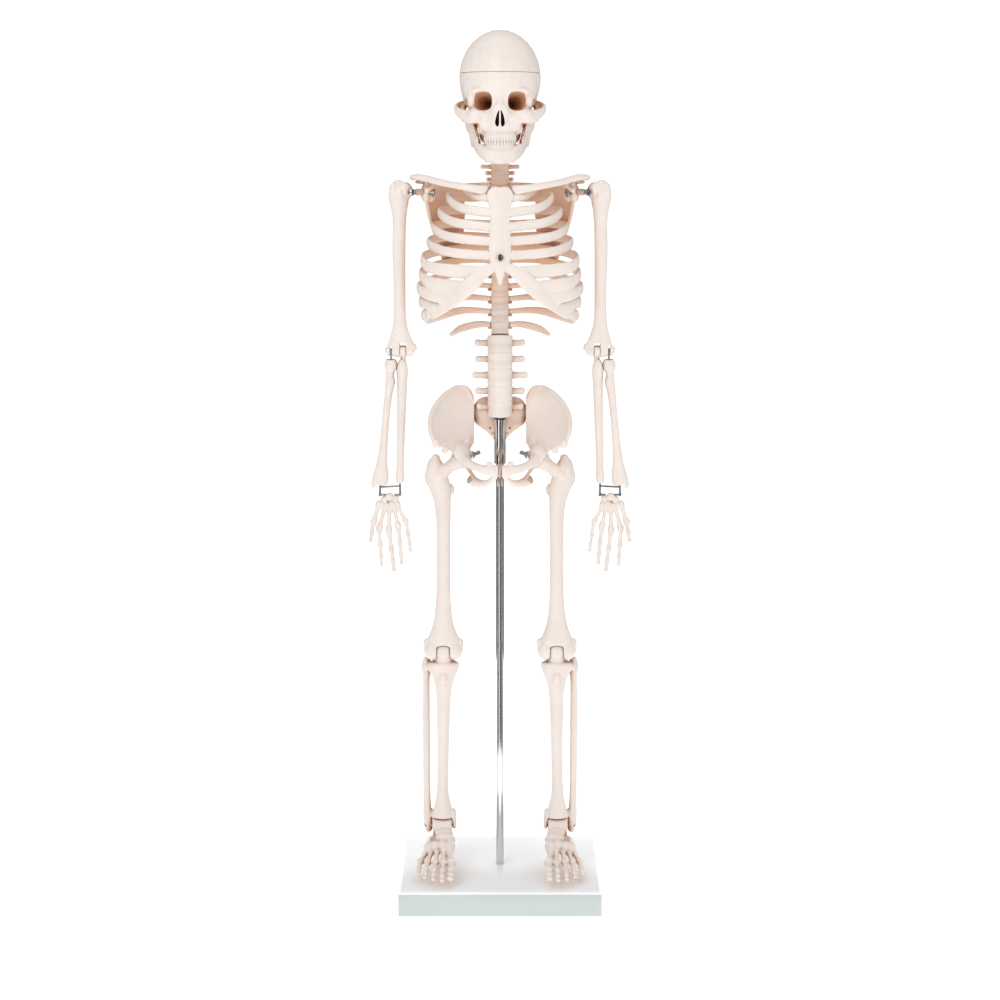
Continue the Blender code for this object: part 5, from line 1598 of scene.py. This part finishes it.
    def foot(self, looks: Finishes) -> None:
        """Ankle block, heel, arch bones and jointed toes."""
        shapes = [peg(at(ANKLE, -9.6, 0, 0), at(ANKLE, 10.0, 0, 0), 9.6 * MM, 40, 1.6 * MM)]
        for x, y, z, radii in (
            (0, 1, -9, (9.4, 9, 7)),
            (-2, -9, -5.4, (9.2, 8, 6.4)),
            (-3.4, -17, -8.6, (10, 5.4, 7)),
            (-8.2, -24, -12.8, (5.4, 6.6, 6.4)),
            (-0.6, -24.6, -12.2, (5.2, 6.4, 6)),
            (6.6, -24, -13.8, (5.2, 6.4, 5.8)),
            (12.4, -19.6, -16.4, (6.4, 8.8, 6.4)),
            (8.6, -9, -14.6, (7.4, 7.8, 7)),
            (0.6, 8, -18, (7.6, 9, 8)),
            (1, 17, -22, (7.4, 8.4, 8)),
            (1, 21.4, -25, (7.6, 7, 7.2)),
        ):
            shapes.append(lump(ANKLE, x, y, z, radii))
        for ball, tip, thick in self.toes:
            shapes.append(self.toe(ball, tip, thick))
        made = fuse(shapes, 0.54, 3)
        cut(
            made,
            [
                peg(at(ANKLE, -40, 0, 0), at(ANKLE, 40, 0, 0), 1.4 * MM),
                lump(ANKLE, 9.4, -15, -8.2, (3.6, 3.6, 3.2)),
            ],
        )
        place_pair(made, "foot_bones_{}", "foot_{}", looks.bone, ["foot_{}"])

    def toe(self, ball: Sequence[float], tip: Sequence[float], thick: float) -> bpy.types.Object:
        """One instep bone and its toe.

        Args:
            ball: the joint at the ball of the foot, from the ankle.
            tip: the toe's tip, from the ankle.
            thick: its half width.

        Returns:
            The toe.
        """
        root = (ball[0] * 0.72, -25 + 0.15 * ball[0], -15 - 0.25 * max(ball[0], 0))
        rows = []
        for share, size in ((0, 1.2), (0.15, 1.1), (0.35, 0.78), (0.6, 0.72), (0.82, 0.9), (0.97, 1.2)):
            place = [a + (b - a) * share for a, b in zip(root, ball)]
            rows.append((*place, thick * size, thick * size * 1.05))
        for first, second in ((0, 0.5), (0.5, 0.78), (0.78, 1)):
            for share, size in ((0.1, 1.05), (0.4, 0.72), (0.7, 0.7), (0.95, 0.95)):
                t = first + (second - first) * share
                taper = 1 - 0.2 * t
                place = [a + (b - a) * t for a, b in zip(ball, tip)]
                place[2] += 1.6 * math.sin(math.pi * t)
                rows.append((*place, thick * size * taper, thick * size * taper * 0.8))
        return path(ANKLE, rows, sides=14)


# --- Skull ----------------------------------------------------------------------------------------
@dataclass
class Skull:
    """Brain case with a lift-off cap, face, teeth and jaw."""

    jaw_y: float = (JAW.y - NECK_TOP.y) / MM
    jaw_z: float = (JAW.z - NECK_TOP.z) / MM
    vault_z: float = (CROWN - NECK_TOP.z) / MM - 44
    ridge: Sequence[Sequence[float]] = (
        (-12.8, -33), (-11.4, -40), (-7, -45), (0, -46.6), (7, -45), (11.4, -40), (12.8, -33)
    )

    def build(self, looks: Finishes) -> None:
        """Makes the cranium, cap, jaw, teeth and pins."""
        whole = self.head()
        hollow = lump(NECK_TOP, 0, -4, self.vault_z, (35.2, 44.8, 40.8))
        cap = copy_of(whole)
        floor = lump(Vector((0, NECK_TOP.y, CAP_CUT)), 0, -4, 0, (34.6, 44, 20))
        above = brick(Vector((-0.1, -0.1, CAP_CUT)), Vector((0.1, 0.1, CAP_CUT + 0.1)))
        below = brick(Vector((-0.1, -0.1, CAP_CUT - 0.15)), Vector((0.1, 0.1, CAP_CUT + 0.35 * MM)))
        cut(whole, [above, floor])
        cut(cap, [hollow, below])
        self.face_holes(whole)
        nodes = ["cranium"]
        place_piece(whole, "skull_base", "skull", looks.bone, nodes)
        place_piece(cap, "skull_lid", "cap", looks.bone, ["skull_cap"], 45)
        self.upper_teeth(looks)
        self.lower_jaw(looks)
        for side in (-1, 1):
            start = at(JAW, side * 27, 0, 0)
            pin = peg(start, at(JAW, side * 38, 0, 0), 1.15 * MM, 24, 0.2 * MM)
            word = Side(side).word
            place_piece(pin, f"jaw_rod_{word}", "skull", looks.steel, [f"jaw_pin_{word}"], 40)

    def head(self) -> bpy.types.Object:
        """The outer shape of the skull, before it is cut."""
        face = NECK_TOP
        vault = self.vault_z
        shapes = [
            lump(face, 0, -4, vault, (38.3, 48, 44)),
            lump(face, 0, 12, vault - 6, (37.6, 34, 36)),
            lump(face, 0, -20, vault - 8, (35, 30.5, 32)),
            lump(face, 0, 6, 18, (27, 30, 13)),
            lump(face, 0, -26, 26, (21, 20, 22)),
            lump(face, 0, -40.5, 40.5, (17, 8, 5)),
            lump(face, 0, -44.4, 30, (3.2, 5.6, 11)),
            lump(face, 0, -41, 20, (10, 9, 12)),
            lump(face, 0, -36, 7, (15, 12.6, 12)),
            lump(face, 0, -36.6, -1, (14, 11.4, 6.4)),
            path(face, [(x, y, -2.2, 4.4, 2.4) for x, y in self.ridge], across=Z_AXIS, sides=16, steps=30),
        ]
        for side in (-1, 1):
            shapes += [
                lump(face, side * 15.5, -42.4, 39.6, (12, 5.4, 3.6), (0, side * 6, side * -8)),
                lump(face, side * 26, -34, 33, (4.4, 6.6, 10)),
                lump(face, side * 22, -38.5, 18, (9, 7.4, 6.4), (0, side * 14, 0)),
                lump(face, side * 12, -39.6, 12, (8, 6.2, 10)),
                lump(face, side * 14.6, -19, 2, (5, 8, 10)),
                lump(face, side * 15, -30, 8, (6, 8, 9)),
                lump(face, side * 27.4, 13, 12, (6.2, 8.6, 12), (14, 0, 0)),
                lump(face, side * 34.6, -2.6, 20, (3, 5.4, 9)),
                lump(face, side * 20, -15, 20, (12, 14, 14)),
                path(
                    face,
                    [
                        (side * 21, -42, 16.5, 6.4, 3.8),
                        (side * 28, -38.4, 16, 6.6, 3.2),
                        (side * 35, -30.5, 18, 5.2, 2.3),
                        (side * 40, -21.5, 21.5, 4.0, 2.0),
                        (side * 41.4, -13, 24.4, 3.6, 1.9),
                        (side * 39, -5, 26.4, 3.8, 2.3),
                        (side * 34, 2, 27.4, 4.6, 3.4),
                    ],
                    across=Z_AXIS,
                    sides=18,
                    steps=30,
                ),
            ]
        return fuse(shapes, 0.8, 6)

    def face_holes(self, made: bpy.types.Object) -> None:
        """Eye sockets, nose, jaw slots, neck seat and pin holes."""
        face = NECK_TOP
        cutters = []
        for side in (-1, 1):
            cutters.append(
                path(
                    face,
                    [
                        (side * 16.4, -62, 30.2, 9.4, 9.4),
                        (side * 16.0, -46, 30.0, 8.7, 8.6),
                        (side * 15.4, -38, 29.6, 8.1, 8.0),
                        (side * 13.4, -28, 28.4, 6.2, 6.0),
                        (side * 11, -19, 27.4, 2.8, 2.8),
                        (side * 9.6, -13, 27.2, 1.5, 1.5),
                    ],
                    sides=36,
                    steps=18,
                    round_power=0.72,
                )
            )
            cutters.append(
                path(
                    face,
                    [
                        (side * 1.0, -44, 21.2, 0.5, 12),
                        (side * 1.9, -44, 17.5, 1.3, 12),
                        (side * 2.5, -44, 12.6, 1.85, 12),
                        (side * 2.6, -44, 9.6, 1.9, 12),
                        (side * 2.2, -44, 7.8, 1.1, 12),
                    ],
                    sides=24,
                    steps=14,
                )
            )
            cutters.append(peg(at(JAW, side * 60, 0, 0), at(JAW, side * 20, 0, 0), 1.4 * MM))
            xs = sorted((side * 24.5, side * 32.6))
            cutters.append(brick(at(face, xs[0], -24, -10), at(face, xs[1], 2.5, self.jaw_z + 7)))
            cutters.append(lump(face, side * 31.6, -21, 24, (5.6, 13, 9.5)))
        cutters.append(peg(at(face, 0, 0, -20), at(face, 0, 0, 22), 2.3 * MM))
        cutters.append(peg(at(face, 0, 0, -20), at(face, 0, 0, -1), 20 * MM, 48))
        cut(made, cutters)

    def tooth(
        self,
        x: float,
        y: float,
        top: float,
        bottom: float,
        width: float,
        turn: float,
    ) -> bpy.types.Object:
        """One tooth, narrow at the gum and square at the bite.

        Args:
            x: place across the face.
            y: place from front to back.
            top: height of one end.
            bottom: height of the other end.
            width: half width.
            turn: which way it faces, in radians.

        Returns:
            The tooth.
        """
        across = Vector((math.cos(turn), math.sin(turn), 0))
        sizes = ((0.0, 0.8), (0.3, 0.94), (0.65, 1.0), (0.92, 0.98), (1.0, 0.88))
        rows = []
        for share, size in sizes:
            z = top + (bottom - top) * share
            rows.append((at(NECK_TOP, x, y, z), width * size * MM, 1.7 * size * MM))
        return tube(rows, across=across, sides=12)

    def arch_of_teeth(
        self,
        half_width: float,
        depth: float,
        front: float,
        top: float,
        bottom: float,
    ) -> bpy.types.Object:
        """A row of teeth along an arch.

        Args:
            half_width: the arch's half width.
            depth: how far back it reaches.
            front: y of its front.
            top: height at the gum.
            bottom: height at the bite.

        Returns:
            The row.
        """
        teeth = []
        count = 14
        for i in range(count):
            turn = math.radians(-80 + 160 * (i + 0.5) / count)
            x = half_width * math.sin(turn)
            y = front + depth * (1 - math.cos(turn))
            width = 1.62 if abs(turn) < 0.9 else 1.8
            slope = math.atan2(depth * math.sin(turn), half_width * math.cos(turn))
            teeth.append(self.tooth(x, y, top, bottom, width, slope))
        return join(teeth)

    def upper_teeth(self, looks: Finishes) -> None:
        """Teeth of the upper jaw."""
        row = self.arch_of_teeth(13.9, 14.6, -47.8, 0.5, -6.4)
        place_piece(row, "upper_teeth", "skull", looks.bone, [])

    def lower_jaw(self, looks: Finishes) -> None:
        """Jaw bow, branches, knuckles and lower teeth."""
        face = NECK_TOP
        half = [
            (0, -48.4, -20.3, 6.8, 3.9),
            (6, -47.6, -20.0, 6.7, 3.9),
            (12, -44.4, -18.4, 6.5, 3.7),
            (17, -37.6, -15.0, 6.4, 3.4),
            (20.4, -30, -10.6, 6.8, 3.1),
            (23, -22, -5.6, 7.4, 2.8),
        ]
        ring = [(-x, y, z, w, d) for x, y, z, w, d in half[:0:-1]] + half
        shapes = [path(face, ring, across=Z_AXIS, sides=20, steps=50)]
        shapes.append(lump(face, 0, -50, -23.4, (6.6, 3, 3.8)))
        shapes.append(
            path(face, [(x, y, -12.6, 4.4, 2.4) for x, y in self.ridge], across=Z_AXIS, sides=16, steps=30)
        )
        for side in (-1, 1):
            shapes.append(
                path(
                    face,
                    [
                        (side * 23.0, -20.5, -8, 8.4, 2.4),
                        (side * 24.0, -18.5, -3, 9, 2.2),
                        (side * 25.4, -16, 3, 8.6, 2),
                        (side * 27.2, -13, 8.6, 6.2, 1.9),
                        (side * 28.6, self.jaw_y - 1, 13, 3.6, 2),
                        (side * 28.8, self.jaw_y, self.jaw_z + 1, 3.2, 2.2),
                    ],
                    across=Vector((side * 0.46, 0.89, 0)),
                    sides=18,
                    steps=22,
                )
            )
            shapes.append(
                path(
                    face,
                    [
                        (side * 23.4, -22, 2, 3.6, 1.8),
                        (side * 24.6, -22.4, 8, 2.4, 1.5),
                        (side * 25.4, -21.6, 12, 1.4, 1.1),
                    ],
                    across=Y_AXIS,
                    sides=12,
                    steps=10,
                )
            )
        made = fuse(shapes, 0.6, 4)
        cut(
            made,
            [
                brick(at(face, -20, -70, -8.4), at(face, 20, -29, 20)),
                peg(at(JAW, -60, 0, 0), at(JAW, 60, 0, 0), 1.4 * MM),
            ],
        )
        place_piece(made, "jaw_bone", "jaw", looks.bone, ["mandible"])
        row = self.arch_of_teeth(13.6, 14.2, -47.6, -12.8, -7.0)
        place_piece(row, "lower_teeth", "jaw", looks.bone, [])


# --- Studio ---------------------------------------------------------------------------------------
@dataclass
class Studio:
    """Floor, light and camera."""

    distance: float = 1.7378
    height: float = 0.742
    tilt: float = 11.05
    lens: float = 64.97
    ambient: float = 0.515
    backdrop: float = 1.12
    ring_radius: float = 0.27
    bands: Sequence[tuple[float, float, float]] = ((-0.42, 0.15, 1.7), (0.22, 0.05, 0.6), (0.62, 0.06, 1.0))
    back_band_top: float = 0.16
    back_band: float = 1.3
    back_dim: float = 0.16
    card_dim: float = 0.03
    lamps: Sequence[tuple[Any, ...]] = (
        ("key", (-1.2, -1.6, 2.0), 1.6, 20, (1, 0.99, 0.98)),
        ("fill", (1.5, -1.3, 1.2), 1.6, 9, (1, 1, 1)),
        ("top", (0, 0.2, 2.6), 1.8, 15, (1, 1, 1)),
    )

    def build(self) -> None:
        """Sets up everything round the object."""
        self.floor()
        self.world()
        self.cards()
        self.lights()
        self.camera()

    def floor(self) -> None:
        """Wide pale floor."""
        deselect()
        bpy.ops.mesh.primitive_plane_add(size=200, location=(0, 0, -0.0002))
        plane = bpy.context.object
        plane.name = "studio_floor"
        white = {
            "Base Color": (0.94, 0.94, 0.94, 1),
            "Roughness": 0.85,
            "Emission Color": (1, 1, 1, 1),
            "Emission Strength": 0.62,
        }
        material, _, _ = fresh("floor_white", white)
        plane.data.materials.append(material)

    def world(self) -> None:
        """White surround, brighter to the eye than its light on the object."""
        world = bpy.data.worlds.new("studio")
        bpy.context.scene.world = world
        world.use_nodes = True
        tree = world.node_tree
        shop = Shop(tree)
        background = tree.nodes["Background"]
        seen = shop.node("ShaderNodeLightPath", {}, {}, "Is Camera Ray")
        strength = seen * (self.backdrop - self.ambient) + self.ambient
        tree.links.new(strength.socket, background.inputs["Strength"])
        background.inputs["Color"].default_value = (1, 1, 1, 1)
        bpy.context.scene.view_settings.view_transform = "Standard"

    def cards(self) -> None:
        """Ring of dark and bright cards that only polished surfaces mirror."""
        deselect()
        bpy.ops.mesh.primitive_cylinder_add(
            vertices=96, radius=self.ring_radius, depth=3, end_fill_type="NOTHING", location=(0, 0, 1.5)
        )
        ring = apply_place(bpy.context.object)
        ring.name = "studio_cards"
        material, shop, shader = fresh(
            "card", {"Base Color": (0, 0, 0, 1), "Roughness": 1.0, "Specular IOR Level": 0.0}
        )
        across = shop.node("ShaderNodeSeparateXYZ", {}, {0: shop.place()}, "X") * (1 / self.ring_radius)
        depth = shop.node("ShaderNodeSeparateXYZ", {}, {0: shop.place()}, "Y")
        front = depth < 0
        glow = front * sum(across.near(middle, reach) * power for middle, reach, power in self.bands)
        low = shop.node("ShaderNodeSeparateXYZ", {}, {0: shop.place()}, "Z") < self.back_band_top
        glow = glow + (1 - front) * (low * self.back_band + self.back_dim) + self.card_dim
        shader.inputs["Emission Strength"].default_value = 1.0
        shop.tree.links.new(glow.socket, shader.inputs["Emission Color"])
        ring.data.materials.append(material)
        for kind in ("camera", "diffuse", "shadow", "transmission"):
            setattr(ring, f"visible_{kind}", False)

    def lights(self) -> None:
        """Large soft lamps in front, above and behind."""
        for name, place, size, power, colour in self.lamps:
            lamp = bpy.data.lights.new(name, "AREA")
            lamp.size = size
            lamp.energy = power
            lamp.color = colour
            made = bpy.data.objects.new(name, lamp)
            bpy.context.scene.collection.objects.link(made)
            made.location = place
            aim = Vector((0, 0, 0.45)) - Vector(place)
            made.rotation_euler = aim.to_track_quat("-Z", "Y").to_euler()

    def camera(self) -> None:
        """Camera in front, a little above the middle and looking down."""
        lens = bpy.data.cameras.new("camera")
        lens.lens = self.lens
        lens.sensor_width = 36
        lens.clip_start = 0.01
        made = bpy.data.objects.new("camera", lens)
        bpy.context.scene.collection.objects.link(made)
        made.location = (0, -self.distance, self.height)
        made.rotation_euler = (math.radians(90 - self.tilt), 0, 0)
        bpy.context.scene.camera = made


def dress_hidden(looks: Finishes) -> None:
    """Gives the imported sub-parts that still show their finishes."""
    for name, node in frame["nodes"].items():
        if not node.hide_render:
            for slot in node.material_slots:
                slot.material = looks.steel
            LOG.info("%s keeps its packed shape", name)


def main() -> None:
    """Builds the object, then the studio."""
    logging.basicConfig(level=logging.INFO, format="%(message)s")
    looks = Finishes()
    Stand().build(looks)
    build_spine(looks)
    Cage().build(looks)
    ShoulderGirdle().build(looks)
    Arm().build(looks)
    Pelvis().build(looks)
    Leg().build(looks)
    Skull().build(looks)
    dress_hidden(looks)
    Studio().build()
    deselect()


if __name__ == "__main__":
    main()
